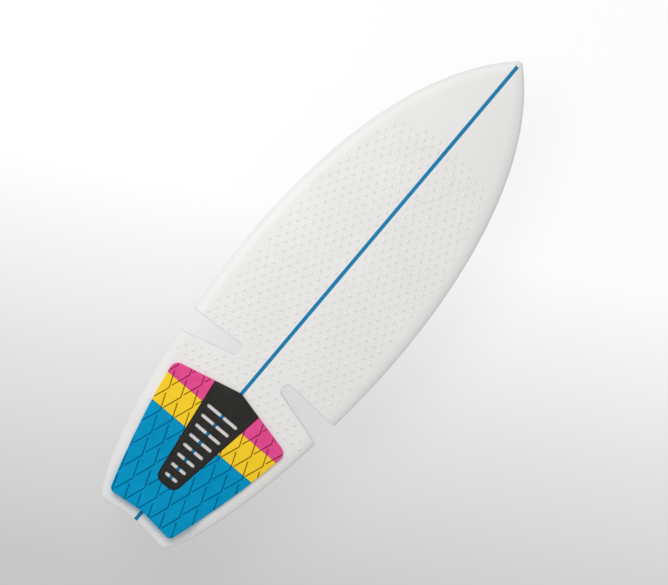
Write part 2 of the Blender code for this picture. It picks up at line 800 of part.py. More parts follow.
def bolt(name, radius, head_low, head_high, far):
    """A hexagon bolt whose shank runs from its head to the far height, above or below it."""
    head = hexagon(name, BOLT_HEAD_RADIUS, head_low, head_high)
    root = (head_low + head_high) / 2
    shank = cylinder("shank", radius, min(root, far), max(root, far), SHAFT_ROUND)
    return joined(head, shank)


def ball_ring(name, pitch, ball, count, band, thickness, height):
    """Bearing balls in their cage, as one piece."""
    low, high = height - thickness / 2, height + thickness / 2
    cage = ring(name, pitch - band / 2, pitch + band / 2, low, high, 2 * count)
    shape = bmesh.new()
    for i in range(count):
        turn = 2 * math.pi * i / count
        place = Matrix.Translation((pitch * math.cos(turn), pitch * math.sin(turn), height))
        bmesh.ops.create_uvsphere(
            shape, u_segments=BALL_SIDES, v_segments=BALL_RINGS, radius=ball, matrix=place
        )
    mesh = bpy.data.meshes.new("balls")
    shape.to_mesh(mesh)
    shape.free()
    return joined(cage, add(mesh, "balls"))


def wedge(name, truck_x):
    """The mounting wedge: a flange under the boss and an inclined barrel that ends in the swivel's face."""
    frame = swivel_frame(truck_x)
    top_radius = BARREL_RADIUS + BARREL_FLARE
    length = (FLANGE_TOP - FACE_Z + top_radius) / math.cos(SWIVEL_TILT)
    barrel = moved(cylinder("barrel", BARREL_RADIUS, 0, length, ROUND, top_radius=top_radius), frame)
    side = BOARD_WIDTH
    middle = FLANGE_TOP - FLANGE_THICKNESS / 2
    low, high = (truck_x - side, -side, middle), (truck_x + side, side, middle + length + side)
    cut(barrel, block("above", low, high))
    body = cylinder(name, FLANGE_RADIUS, FLANGE_BOTTOM, FLANGE_TOP, ROUND, centre=(truck_x, 0))
    joined(body, barrel)
    hole = cylinder("kingpin_hole", KINGPIN_RADIUS + GAP, -BEYOND, length + BEYOND, SHAFT_ROUND)
    cut(body, moved(hole, frame))
    pocket_radius = BOLT_HEAD_RADIUS + NUT_POCKET_PLAY
    cut(body, moved(cylinder("nut_pocket", pocket_radius, NUT_SEAT, length + BEYOND, SHAFT_ROUND), frame))
    for place in screw_places(truck_x):
        hole = (SCREW_RADIUS + GAP, FLANGE_BOTTOM - BEYOND, FLANGE_TOP + BEYOND)
        cut(body, cylinder("screw_hole", *hole, SCREW_ROUND, centre=place))
    return body


def screw(name, place):
    """A pan-head screw with a hexagon socket, driven up through the flange into the boss."""
    head_top = FLANGE_BOTTOM - GAP
    low, middle = head_top - SCREW_HEAD, head_top - SCREW_HEAD / 2
    crown = SCREW_HEAD_RADIUS - SCREW_CROWN
    head = cylinder(name, crown, low, head_top, SCREW_ROUND, top_radius=SCREW_HEAD_RADIUS, centre=place)
    tip = BOSS_BOTTOM + SCREW_BITE
    joined(head, cylinder("shank", SCREW_RADIUS, middle, tip, SCREW_ROUND, centre=place))
    socket = cylinder("socket", SCREW_SOCKET_RADIUS, low - BEYOND, low + SCREW_SOCKET, 6, centre=place)
    return cut(head, socket)


def fork_leg(side):
    """One leg: a plate that tapers from the crown to the eye round the axle."""
    near = side * LEG_INNER
    far = side * LEG_OUTER
    shape = bmesh.new()
    for y in (near, far):
        for x in (-LEG_TOP_HALF, LEG_TOP_HALF):
            for z in (-CROWN_TOP - GAP, -CROWN_BOTTOM):
                shape.verts.new((x, y, z))
        for i in range(RACE_ROUND):
            turn = 2 * math.pi * i / RACE_ROUND
            x = -TRAIL + LEG_EYE * math.cos(turn)
            shape.verts.new((x, y, -AXLE_DROP + LEG_EYE * math.sin(turn)))
    hull = bmesh.ops.convex_hull(shape, input=shape.verts)
    inside = [v for v in hull["geom_interior"] if isinstance(v, bmesh.types.BMVert)]
    bmesh.ops.delete(shape, geom=inside, context="VERTS")
    bmesh.ops.dissolve_limit(shape, angle_limit=math.radians(0.5), verts=shape.verts, edges=shape.edges)
    bmesh.ops.recalc_face_normals(shape, faces=shape.faces)
    mesh = bpy.data.meshes.new("leg")
    shape.to_mesh(mesh)
    shape.free()
    return add(mesh, "leg")


def fork(name):
    """The pressed-steel fork: a round crown under the swivel bearing and two legs down to the axle."""
    body = cylinder(name, CROWN_RADIUS, -CROWN_BOTTOM, -CROWN_TOP, ROUND)
    for side in (1, -1):
        joined(body, fork_leg(side))
    cut(body, cylinder("kingpin_hole", KINGPIN_RADIUS + GAP, -CROWN_BOTTOM - GAP, 0, SHAFT_ROUND))
    hole = cylinder("axle_hole", BEARING_BORE, -BEYOND, BEYOND, SHAFT_ROUND)
    cut(body, moved(hole, Matrix.Translation(AXLE_IN_SWIVEL) @ LYING))
    return body


def wheel_core(name):
    """The moulded core: hub with two bearing seats, web and rim."""
    half_hub, half_web, half_rim = WHEEL_WIDTH / 2, WEB_WIDTH / 2, CORE_WIDTH / 2
    bore = BEARING_RADIUS + GAP
    hub = bore + HUB_WALL
    rim = CORE_RADIUS - CORE_RIM
    shoulder = BEARING_RADIUS - RACE_WALL
    lower = [(CORE_RADIUS, -half_rim), (rim, -half_rim), (rim, -half_web), (hub, -half_web)]
    lower += [(hub, -half_hub), (bore, -half_hub), (bore, -BEARING_SEAT), (shoulder, -BEARING_SEAT)]
    upper = [(radius, -height) for radius, height in reversed(lower)]
    return turned(name, lower + upper, CORE_ROUND)


def wheel_tyre(name):
    """The urethane tyre, with a flat tread and rounded shoulders."""
    tread, side = TREAD_WIDTH / 2, WHEEL_WIDTH / 2
    seat = CORE_RADIUS + GAP
    lean = math.radians(45)
    shoulder = (WHEEL_RADIUS - TREAD_ROUND * (1 - math.cos(lean)), -tread - (side - tread) * math.sin(lean))
    lower = [(WHEEL_RADIUS, -tread), shoulder, (WHEEL_RADIUS - TREAD_ROUND, -side)]
    lower += [(seat + (side - CORE_WIDTH / 2), -side), (seat, -CORE_WIDTH / 2)]
    upper = [(radius, -height) for radius, height in reversed(lower)]
    return turned(name, lower + upper, ROUND)


def bearing(prefix):
    """The pieces of one cartridge bearing, from its inner face at 0 up to its outer face."""
    track = BEARING_RADIUS - RACE_WALL
    inner = BEARING_BORE + RACE_WALL
    seal = BEARING_WIDTH - SEAL_THICKNESS
    profile = [(BEARING_RADIUS, BEARING_WIDTH), (BEARING_RADIUS, 0), (track, 0), (track, seal)]
    profile += [(inner + GAP, seal), (inner + GAP, BEARING_WIDTH)]
    outer_ring = turned(prefix + "_outer_ring", profile, SHAFT_ROUND)
    inner_ring = ring(prefix + "_inner_ring", BEARING_BORE, inner, 0, BEARING_WIDTH)
    ball = (track - inner) / 2 - GAP
    pitch = (track + inner) / 2
    cage = (WHEEL_CAGE_WIDTH, WHEEL_CAGE_THICKNESS, BEARING_WIDTH / 2)
    balls = ball_ring(prefix + "_ball_ring", pitch, ball, WHEEL_BALLS, *cage)
    return outer_ring, inner_ring, balls


def swivel_bearing(end, swivel):
    """The thrust bearing between the wedge and the fork."""
    top, under = -UPPER_RACE_TOP, -UPPER_RACE_TOP - RACE_THICKNESS
    skirt = under - SWIVEL_BALL / 2
    lip = RACE_RADIUS - RACE_LIP
    profile = [(RACE_RADIUS, top), (RACE_RADIUS, skirt), (lip, skirt), (lip, under)]
    profile += [(RACE_BORE, under), (RACE_BORE, top)]
    held(turned(end + "_upper_race", profile, RACE_ROUND), swivel, BEARING_STEEL)
    pitch = (RACE_BORE + lip) / 2
    height = -BALLS_TOP - SWIVEL_BALL / 2
    cage = (CAGE_WIDTH, CAGE_THICKNESS, height)
    balls = ball_ring(end + "_ball_ring", pitch, SWIVEL_BALL / 2, SWIVEL_BALLS, *cage)
    held(balls, swivel, BEARING_STEEL)
    low, high = -LOWER_RACE_TOP - RACE_THICKNESS, -LOWER_RACE_TOP
    held(ring(end + "_lower_race", RACE_BORE, RACE_RADIUS, low, high, RACE_ROUND), swivel, BEARING_STEEL)


def kingpin(end, swivel):
    """The bolt that the fork turns on, with its washer under the crown and its nut inside the wedge."""
    nut_low, nut_high = NUT_SEAT + GAP, NUT_SEAT + GAP + NUT_THICKNESS
    pin = bolt(end + "_kingpin", KINGPIN_RADIUS, -HEAD_BOTTOM, -HEAD_TOP, nut_high + THREAD_SHOWING)
    held(pin, swivel, BOLT_STEEL)
    low, high = -WASHER_TOP - KINGPIN_WASHER, -WASHER_TOP
    hole = KINGPIN_RADIUS + GAP
    held(ring(end + "_kingpin_washer", hole, KINGPIN_WASHER_RADIUS, low, high), swivel, BOLT_STEEL)
    nut = hexagon(end + "_kingpin_nut", BOLT_HEAD_RADIUS, nut_low, nut_high, hole)
    held(nut, swivel, BOLT_STEEL)


def wheel_and_axle(end, swivel):
    """The wheel on its two bearings, and the bolt, nut, washers and spacer that hold it in the fork."""
    place = Matrix.Translation(AXLE_IN_SWIVEL) @ Matrix.Rotation(-SWIVEL_TILT, 4, "Y") @ LYING
    axle_frame = empty(end + "_axle_frame", swivel.matrix_world @ place)
    shank = BEARING_BORE - GAP
    head_low = LEG_OUTER + GAP
    far = -(LEG_OUTER + GAP + NUT_THICKNESS + THREAD_SHOWING)
    held(bolt(end + "_axle", shank, head_low, head_low + BOLT_HEAD, far), axle_frame, BOLT_STEEL)
    nut_high = -LEG_OUTER - GAP
    nut = hexagon(end + "_axle_nut", BOLT_HEAD_RADIUS, nut_high - NUT_THICKNESS, nut_high, BEARING_BORE)
    held(nut, axle_frame, BOLT_STEEL)
    spacer_wall = (BEARING_BORE, BEARING_BORE + RACE_WALL)
    held(ring(end + "_bearing_spacer", *spacer_wall, -BEARING_SEAT, BEARING_SEAT), axle_frame, BOLT_STEEL)
    flip = Matrix.Rotation(math.radians(180), 4, "X")
    outward = Matrix.Translation((0, 0, WHEEL_WIDTH / 2 - BEARING_WIDTH))
    for side, way in (("left", Matrix()), ("right", flip)):
        prefix = f"{end}_{side}_bearing"
        for piece in bearing(prefix):
            held(moved(piece, way @ outward), axle_frame, BEARING_STEEL)
        low, high = WHEEL_WIDTH / 2 + GAP, LEG_INNER - GAP
        washer = ring(f"{end}_{side}_axle_washer", BEARING_BORE, AXLE_WASHER_RADIUS, low, high)
        held(moved(washer, way), axle_frame, BOLT_STEEL)
    held(wheel_core(end + "_wheel_core"), axle_frame, WHEEL_CORE)
    held(wheel_tyre(end + "_wheel_tyre"), axle_frame, WHEEL_TYRE)


def caster(end, truck_x, deck_frame):
    """Everything of one caster, from the wedge down to the tyre."""
    held_in_place(wedge(end + "_wedge", truck_x), deck_frame, WEDGE_BLACK)
    for number, place in enumerate(screw_places(truck_x), start=1):
        held_in_place(screw(f"{end}_wedge_screw_{number}", place), deck_frame, BOLT_STEEL)
    swivel = empty(end + "_swivel_frame", swivel_frame(truck_x))
    swivel_bearing(end, swivel)
    kingpin(end, swivel)
    held(fork(end + "_fork"), swivel, FORK_STEEL)
    wheel_and_axle(end, swivel)


def board():
    """The deck halves, the stringer and the pad, each under the empty of its own half."""
    front_frame = empty("front_frame", Matrix())
    rear_frame = empty("rear_frame", Matrix.Translation((NECK_X, 0, TWIST_Z)))
    deck_front, deck_rear = split(whole_deck(), "deck_front", "deck_rear")
    held_in_place(deck_front, front_frame, DECK_WHITE)
    held_in_place(deck_rear, rear_frame, DECK_WHITE)
    strip = plate("stringer", stringer_outline(0), DECK_TOP - STRINGER_THICKNESS, DECK_TOP)
    strip_front, strip_rear = split(strip, "stringer_front", "stringer_rear")
    held_in_place(strip_front, front_frame, STRIPE_BLUE)
    held_in_place(strip_rear, rear_frame, STRIPE_BLUE)
    seam = GAP / 2
    beyond_pad = PAD_APEX_X + BEYOND
    held_in_place(pad_band("pad_blue", TAIL_X, BLUE_END_X - seam), rear_frame, PAD_BLUE)
    for side, way in (("left", 1), ("right", -1)):
        yellow = pad_band("pad_yellow_" + side, BLUE_END_X + seam, YELLOW_END_X - seam, way)
        held_in_place(yellow, rear_frame, PAD_YELLOW)
        pink = pad_band("pad_pink_" + side, YELLOW_END_X + seam, beyond_pad, way)
        held_in_place(pink, rear_frame, PAD_PINK)
    held_in_place(centre_piece(), rear_frame, PAD_BLACK)
    caster("front", FRONT_TRUCK_X, front_frame)
    caster("rear", REAR_TRUCK_X, rear_frame)


board()
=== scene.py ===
# %% [markdown]
# # A caster board
#
# A caster board is a skateboard on two inclined swivel casters. The rider twists its deck at the neck and
# it drives itself forward. This one has a moulded white deck shaped like a surfboard, with a foam grip
# pad on its tail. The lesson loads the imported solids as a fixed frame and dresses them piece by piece.

# %% The fixed frame
import json
import math
from contextlib import contextmanager

import bmesh
import bpy
import numpy as np
from mathutils import Matrix, Vector
from mathutils.kdtree import KDTree

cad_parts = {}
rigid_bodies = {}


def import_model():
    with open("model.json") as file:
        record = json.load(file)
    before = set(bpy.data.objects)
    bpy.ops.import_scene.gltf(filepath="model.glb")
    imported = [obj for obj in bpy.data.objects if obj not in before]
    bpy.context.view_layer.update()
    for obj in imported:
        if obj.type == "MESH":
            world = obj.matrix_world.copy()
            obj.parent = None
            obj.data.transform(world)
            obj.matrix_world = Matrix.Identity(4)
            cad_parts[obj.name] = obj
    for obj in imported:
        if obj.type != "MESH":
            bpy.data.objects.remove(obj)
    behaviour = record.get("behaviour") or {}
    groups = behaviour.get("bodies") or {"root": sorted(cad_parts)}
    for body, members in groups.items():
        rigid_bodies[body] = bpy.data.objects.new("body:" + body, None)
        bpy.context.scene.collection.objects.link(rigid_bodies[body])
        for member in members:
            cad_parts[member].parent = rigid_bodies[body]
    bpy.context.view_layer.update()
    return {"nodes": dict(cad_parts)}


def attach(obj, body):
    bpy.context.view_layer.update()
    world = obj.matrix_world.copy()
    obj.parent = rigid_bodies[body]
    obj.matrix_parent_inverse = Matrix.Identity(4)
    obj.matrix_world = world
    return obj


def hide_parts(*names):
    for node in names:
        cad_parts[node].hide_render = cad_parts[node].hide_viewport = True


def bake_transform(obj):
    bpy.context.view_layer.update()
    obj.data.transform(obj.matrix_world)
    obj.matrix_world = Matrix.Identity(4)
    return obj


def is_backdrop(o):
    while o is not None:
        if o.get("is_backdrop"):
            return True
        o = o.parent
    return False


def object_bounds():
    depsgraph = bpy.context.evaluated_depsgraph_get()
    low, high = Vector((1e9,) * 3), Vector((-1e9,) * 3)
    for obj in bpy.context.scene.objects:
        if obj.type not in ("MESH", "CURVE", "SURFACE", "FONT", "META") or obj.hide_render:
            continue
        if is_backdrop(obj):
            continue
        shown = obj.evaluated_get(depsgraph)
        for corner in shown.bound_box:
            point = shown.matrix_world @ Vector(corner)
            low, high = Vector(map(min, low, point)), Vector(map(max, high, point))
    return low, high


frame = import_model()

# %% [markdown]
# ## Helpers for modelling by operator
#
# Blender's operators act on whatever is selected. Each helper therefore starts by deselecting everything,
# and faces and edges are then picked by where they are or which way they point.

# %% Selecting and editing
MM = 0.001
HERE = Vector((0, 0, 0))


def only(obj):
    """Selects one object and makes it the active one."""
    bpy.ops.object.select_all(action="DESELECT")
    obj.select_set(True)
    bpy.context.view_layer.objects.active = obj
    return obj


@contextmanager
def editing(obj, kind="VERT", action="DESELECT"):
    """Edit mode on one object, with nothing or everything selected at first."""
    only(obj)
    bpy.ops.object.mode_set(mode="EDIT")
    bpy.ops.mesh.select_mode(type=kind)
    bpy.ops.mesh.select_all(action=action)
    yield
    bpy.ops.object.mode_set(mode="OBJECT")


def pick(obj, parts, wanted):
    """In edit mode, selects the verts, edges or faces that the test wants, and counts them."""
    shape = bmesh.from_edit_mesh(obj.data)
    found = [part for part in getattr(shape, parts) if wanted(part)]
    for part in found:
        part.select_set(True)
    shape.select_flush_mode()
    bmesh.update_edit_mesh(obj.data)
    return len(found)


def named(name):
    """Names the object that a primitive operator has just added."""
    obj = bpy.context.object
    obj.name = obj.data.name = name
    return obj


def modified(obj, kind, **settings):
    """Adds a modifier and applies it."""
    only(obj)
    bpy.ops.object.modifier_add(type=kind)
    modifier = obj.modifiers[-1]
    for key, value in settings.items():
        setattr(modifier, key, value)
    bpy.ops.object.modifier_apply(modifier=modifier.name)
    return obj


def carved(target, tool, operation="DIFFERENCE", finish=None):
    """Cuts, joins or intersects with a tool, which is used up. Its faces may leave a finish of their own."""
    if finish is not None:
        tool.data.materials.append(finish)
    mode = "INDEX" if finish is None else "TRANSFER"
    modified(target, "BOOLEAN", operation=operation, object=tool, solver="EXACT", material_mode=mode)
    bpy.data.objects.remove(tool)
    return target


def joined(name, pieces):
    """Several meshes as one object."""
    bpy.ops.object.select_all(action="DESELECT")
    for piece in pieces:
        piece.select_set(True)
    bpy.context.view_layer.objects.active = pieces[0]
    bpy.ops.object.join()
    return named(name)


def moved(obj, matrix):
    """Moves a piece and applies its place, so that the place is in the mesh."""
    only(obj)
    obj.matrix_world = matrix @ obj.matrix_world
    bpy.ops.object.transform_apply(location=True, rotation=True, scale=True)
    return obj


def duplicated(obj, name, matrix=None):
    """A copy with a mesh of its own, moved if there is somewhere to move it."""
    only(obj)
    bpy.ops.object.duplicate()
    twin = named(name)
    return moved(twin, matrix) if matrix is not None else twin


# %% [markdown]
# ## Drawing lines, plates and turned shapes
#
# A single vertex that is extruded from point to point draws any outline. Filled and extruded upwards it
# becomes a plate, and spun round an axis it becomes a turned piece, as on a lathe.

# %% Lines, plates and lathe work
def drawn(name, points):
    """A closed line, drawn by extruding one vertex from point to point."""
    places = [Vector(point).to_3d() for point in points]
    bpy.ops.object.select_all(action="DESELECT")
    bpy.ops.mesh.primitive_plane_add(size=MM, location=HERE)
    obj = named(name)
    with editing(obj, action="SELECT"):
        bpy.ops.mesh.merge(type="CENTER")
        bpy.ops.transform.translate(value=places[0])
        for here, there in zip(places, places[1:]):
            bpy.ops.mesh.extrude_vertices_move(TRANSFORM_OT_translate={"value": there - here})
        shape = bmesh.from_edit_mesh(obj.data)
        ends = [vert for vert in shape.verts if len(vert.link_edges) == 1]
        bpy.ops.mesh.select_all(action="DESELECT")
        for vert in ends:
            vert.select_set(True)
        bpy.ops.mesh.edge_face_add()
    return obj


def plate(name, outline, low, high):
    """A flat plate with this outline, between two heights."""
    obj = drawn(name, [(x, y, low) for x, y in outline])
    with editing(obj, action="SELECT"):
        bpy.ops.mesh.edge_face_add()
        bpy.ops.mesh.extrude_region_move(TRANSFORM_OT_translate={"value": (0, 0, high - low)})
        bpy.ops.mesh.select_all(action="SELECT")
        bpy.ops.mesh.normals_make_consistent(inside=False)
    return obj


def turned(name, profile, sides=48):
    """A piece turned round Z from a closed profile of (radius, height)."""
    obj = drawn(name, [(radius, 0, height) for radius, height in profile])
    with editing(obj, action="SELECT"):
        bpy.ops.mesh.spin(steps=sides, angle=2 * math.pi, center=HERE, axis=(0, 0, 1))
        bpy.ops.mesh.select_all(action="SELECT")
        bpy.ops.mesh.remove_doubles(threshold=MM / 1000)
        bpy.ops.mesh.delete_loose()
        bpy.ops.mesh.select_all(action="SELECT")
        bpy.ops.mesh.normals_make_consistent(inside=False)
    return obj


def block(name, low, high):
    """A box between two corners, to cut or keep with."""
    low, high = Vector(low), Vector(high)
    bpy.ops.object.select_all(action="DESELECT")
    bpy.ops.mesh.primitive_cube_add(size=1, location=(low + high) / 2, scale=high - low)
    bpy.ops.object.transform_apply(location=True, rotation=True, scale=True)
    return named(name)


def rod(name, radius, low, high, sides=48, top_radius=None, centre=(0, 0)):
    """An upright cylinder or cone between two heights."""
    bpy.ops.object.select_all(action="DESELECT")
    bpy.ops.mesh.primitive_cone_add(
        vertices=sides,
        radius1=radius,
        radius2=radius if top_radius is None else top_radius,
        depth=high - low,
        location=(*centre, (low + high) / 2),
    )
    bpy.ops.object.transform_apply(location=True, rotation=True, scale=True)
    return named(name)


def softened(obj, width, segments=2, angle=40):
    """Rounds every edge sharper than this angle, as a moulded or pressed edge is."""
    return modified(
        obj,
        "BEVEL",
        width=width,
        segments=segments,
        limit_method="ANGLE",
        angle_limit=math.radians(angle),
    )


# %% [markdown]
# ## Helpers for materials
#
# Colours are written as they are picked on a screen, in sRGB hex, and one function turns them into the
# linear numbers that shaders use. Another adds a node, sets it and links it in one line.

# %% Colours and nodes
def linear(code):
    """A hex colour as linear red, green, blue and alpha."""
    parts = [int(code[i : i + 2], 16) / 255 for i in (1, 3, 5)]
    return (*[c / 12.92 if c <= 0.04045 else ((c + 0.055) / 1.055) ** 2.4 for c in parts], 1)


def node(tree, kind, inputs=None, **settings):
    """Adds a node. A socket among the inputs is linked, and anything else is set."""
    made = tree.nodes.new("ShaderNode" + kind)
    for key, value in settings.items():
        setattr(made, key, value)
    for key, value in (inputs or {}).items():
        if isinstance(value, bpy.types.NodeSocket):
            tree.links.new(value, made.inputs[key])
        else:
            made.inputs[key].default_value = value
    return made


def shader(name, **inputs):
    """A new material with one Principled shader, its node tree, the shader and the object's coordinates."""
    made = bpy.data.materials.new(name)
    made.use_nodes = True
    tree = made.node_tree
    principled = tree.nodes["Principled BSDF"]
    for key, value in inputs.items():
        principled.inputs[key.replace("_", " ")].default_value = value
    place = node(tree, "TexCoord").outputs["Object"]
    return made, tree, principled, place


def noise(tree, place, size, detail=2.0):
    """Noise whose blobs are about this size."""
    inputs = {"Vector": place, "Scale": 1 / size, "Detail": detail}
    return node(tree, "TexNoise", inputs).outputs["Fac"]


def mottled(tree, principled, pattern, first, second, low=0.35, high=0.65):
    """Colour that drifts between two shades with a pattern."""
    ramp = node(tree, "ValToRGB", {"Fac": pattern})
    ramp.color_ramp.elements[0].position = low
    ramp.color_ramp.elements[1].position = high
    ramp.color_ramp.elements[0].color = linear(first)
    ramp.color_ramp.elements[1].color = linear(second)
    tree.links.new(ramp.outputs["Color"], principled.inputs["Base Color"])
    return ramp.outputs["Color"]


def grained(tree, principled, pattern, depth, normal=None):
    """A bump of this depth in metres, on top of another one if there is one."""
    inputs = {"Height": pattern, "Distance": depth, "Strength": 1.0}
    if normal is not None:
        inputs["Normal"] = normal
    bump = node(tree, "Bump", inputs).outputs["Normal"]
    tree.links.new(bump, principled.inputs["Normal"])
    return bump


def varied(tree, principled, pattern, low, high):
    """Roughness that drifts between two values with a pattern."""
    limits = {"From Min": 0.3, "From Max": 0.7, "To Min": low, "To Max": high}
    span = node(tree, "MapRange", {"Value": pattern, **limits})
    tree.links.new(span.outputs["Result"], principled.inputs["Roughness"])


# %% [markdown]
# ## The moulded deck's finish
#
# The deck is a tough moulded nylon blend, nearly white, with the fine spark-eroded grain that steel
# moulds give. Real grain is about 0.3 mm, too fine to show from above, so it is drawn 1.2 mm wide. A very
# faint drift of colour and of roughness keeps the large plain surface from looking like paper.

# %% White deck polymer
DECK_WHITE, tree, principled, place = shader("moulded_white_nylon", IOR=1.5)
drift = noise(tree, place, 90 * MM)
mottled(tree, principled, drift, "#E9E8E6", "#ECEBE9")
varied(tree, principled, noise(tree, place, 25 * MM), 0.38, 0.46)
grained(tree, principled, noise(tree, place, 1.2 * MM, 3.0), 0.02 * MM)

# %% [markdown]
# ## The stripe's finish
#
# The stripe is cast vinyl film, smoother and glossier than the deck, in one even blue.

# %% Blue vinyl
STRIPE_BLUE, tree, principled, place = shader("cast_blue_vinyl", IOR=1.5)
principled.inputs["Specular IOR Level"].default_value = 0.2
mottled(tree, principled, noise(tree, place, 30 * MM), "#007CAE", "#0480B1")
varied(tree, principled, noise(tree, place, 8 * MM), 0.28, 0.34)

# %% [markdown]
# ## The foam of the pad
#
# The bands are closed-cell EVA foam, skived from a block. It is matt, and its cut cells are 0.3 to 0.5 mm
# across. They are drawn 0.8 mm wide so that they show. The chevron grooves' faces get darker copies of the
# foam, painted shade that stands in for the shadow inside the grooves. One function makes all of these
# finishes, because only the colour differs.

# %% Foam in three colours
def foam(name, first, second):
    """Matt foam between two shades, with cut cells."""
    made, tree, principled, place = shader(name, IOR=1.45)
    principled.inputs["Specular IOR Level"].default_value = 0.08
    mottled(tree, principled, noise(tree, place, 14 * MM, 4.0), first, second)
    varied(tree, principled, noise(tree, place, 6 * MM), 0.66, 0.78)
    cells = node(tree, "TexVoronoi", {"Vector": place, "Scale": 1 / (0.8 * MM)}).outputs["Distance"]
    wide = grained(tree, principled, noise(tree, place, 5 * MM), 0.05 * MM)
    grained(tree, principled, cells, 0.05 * MM, wide)
    return made


PAD_BLUE = foam("eva_foam_blue", "#0093C3", "#0099CC")
PAD_YELLOW = foam("eva_foam_yellow", "#FBD129", "#FED631")
PAD_PINK = foam("eva_foam_pink", "#E54A8E", "#EA5194")
# Darker foam for the grooves' faces: painted shade for the shadow inside the grooves.
GROOVE_SHADE_BLUE = foam("painted_groove_shade_blue", "#007BA6", "#0080AD")
GROOVE_SHADE_YELLOW = foam("painted_groove_shade_yellow", "#AD8018", "#B5881C")
GROOVE_SHADE_PINK = foam("painted_groove_shade_pink", "#AC3668", "#B43C70")

# %% [markdown]
# ## The black centre piece
#
# The centre piece is moulded rubber. It is a warm black, a little smoother than the foam, with a faint
# orange-peel surface from its mould.

# %% Black rubber
PAD_BLACK, tree, principled, place = shader("moulded_black_rubber", IOR=1.5)
principled.inputs["Specular IOR Level"].default_value = 0.1
mottled(tree, principled, noise(tree, place, 10 * MM, 4.0), "#282725", "#2E2D2B")
varied(tree, principled, noise(tree, place, 5 * MM), 0.52, 0.66)
grained(tree, principled, noise(tree, place, 0.9 * MM, 3.0), 0.04 * MM)

# %% [markdown]
# ## The mounting wedge
#
# The wedge is injection-moulded nylon with short glass fibres. The fibres make its surface slightly
# streaky and dull, dark grey rather than pure black.

# %% Glass-filled nylon
WEDGE_NYLON, tree, principled, place = shader("glass_filled_black_nylon", IOR=1.53)
mottled(tree, principled, noise(tree, place, 7 * MM, 5.0), "#2A2A2D", "#343437")
varied(tree, principled, noise(tree, place, 3 * MM), 0.42, 0.58)
grained(tree, principled, noise(tree, place, 0.8 * MM, 3.0), 0.05 * MM)

# %% [markdown]
# ## The metals
#
# The fork is pressed from steel sheet and zinc plated, which leaves it bluish with soft cloudy patches.
# The bolts are plated too but brighter, and the bearing races are ground to a fine sheen. All three are
# metals, so the base colour is what they reflect, and one function makes them with their own patch size
# and grain.

# %% Plated and ground steel
def steel(name, first, second, rough, patch, grain, depth):
    """A metal between two shades, with a range of roughness, cloudy patches and a grain."""
    made, tree, principled, place = shader(name, Metallic=1.0)
    mottled(tree, principled, noise(tree, place, patch, 4.0), first, second)
    varied(tree, principled, noise(tree, place, patch / 2), *rough)
    grained(tree, principled, noise(tree, place, grain, 3.0), depth)
    return made


FORK_STEEL = steel(
    "zinc_plated_pressed_steel", "#B9BCC2", "#CDCFD3", (0.26, 0.40), 9 * MM, 0.7 * MM, 0.02 * MM
)
BOLT_STEEL = steel(
    "zinc_plated_bolt_steel", "#C2C3C1", "#D2D3D1", (0.24, 0.34), 4 * MM, 0.5 * MM, 0.01 * MM
)
BEARING_STEEL = steel(
    "ground_bearing_steel", "#C8C9CC", "#D6D7DA", (0.14, 0.22), 5 * MM, 0.4 * MM, 0.005 * MM
)

# %% [markdown]
# ## The wheel's two plastics
#
# The core is white moulded nylon, like the deck but smoother. The tyre is cast urethane, a glossy rubbery
# plastic in the blue of the pad, with a slight depth to its colour.

# %% Wheel nylon, urethane and the bearing's seal
CORE_NYLON, tree, principled, place = shader("moulded_wheel_nylon", IOR=1.53)
mottled(tree, principled, noise(tree, place, 12 * MM), "#E6E6E3", "#EAEAE8")
varied(tree, principled, noise(tree, place, 6 * MM), 0.34, 0.44)
grained(tree, principled, noise(tree, place, 0.9 * MM, 3.0), 0.02 * MM)

TYRE_URETHANE, tree, principled, place = shader("cast_blue_urethane", IOR=1.5)
mottled(tree, principled, noise(tree, place, 16 * MM, 3.0), "#1784B8", "#1C8CC2")
varied(tree, principled, noise(tree, place, 9 * MM), 0.26, 0.36)
grained(tree, principled, noise(tree, place, 2.5 * MM), 0.02 * MM)

SEAL_RUBBER, tree, principled, place = shader("black_seal_rubber", IOR=1.5)
mottled(tree, principled, noise(tree, place, 3 * MM), "#1E1E20", "#262628")
varied(tree, principled, noise(tree, place, 2 * MM), 0.45, 0.55)

# %% [markdown]
# ## Dressing a piece
#
# Every finished piece gets its material and its smooth shading, rides on the solid body that carries it,
# and hides the solids that it stands for. One call does all of that for the rigid pieces.

# %% The last step of each piece
def dressed(obj, finish, angle=35):
    """Gives a piece its material and its smooth shading."""
    if finish is not None:
        obj.data.materials.clear()
        obj.data.materials.append(finish)
    only(obj)
    bpy.ops.object.shade_smooth_by_angle(angle=math.radians(angle))
    return obj


def placed(obj, finish, slot, body, *nodes):
    """A finished rigid piece on its body, in place of its solids."""
    dressed(obj, finish)
    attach(obj, body)
    if nodes:
        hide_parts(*nodes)
    return obj


# %% [markdown]
# ## Camera
#
# The photograph looks straight down at the board, which lies across the picture with its nose at the
# upper right. The board's outline runs from pixel (132, 523) to (520, 62), 601 pixels for its 857 mm, and
# that fixes the scale, the turn and the point under the camera. A long lens keeps the perspective as
# slight as in the photograph.

# %% Camera above the deck
PICTURE_WIDTH = 668
MM_PER_PIXEL = 857 / 601
SIGHT_X, SIGHT_Y = 0.0078, -0.0076
DECK_TOP = 0.108215
CAMERA_HEIGHT = 3.5
SENSOR = 36
TURN = math.atan2(-0.76432, 0.64483)

bpy.ops.object.select_all(action="DESELECT")
above = (SIGHT_X, SIGHT_Y, DECK_TOP + CAMERA_HEIGHT)
bpy.ops.object.camera_add(location=above, rotation=(0, 0, TURN))
camera = bpy.context.object
camera.data.sensor_width = SENSOR
camera.data.lens = SENSOR * CAMERA_HEIGHT / (PICTURE_WIDTH * MM_PER_PIXEL * MM)
camera.data.clip_end = 50
bpy.context.scene.camera = camera
print("lens", round(camera.data.lens, 1), "mm at", CAMERA_HEIGHT, "m")
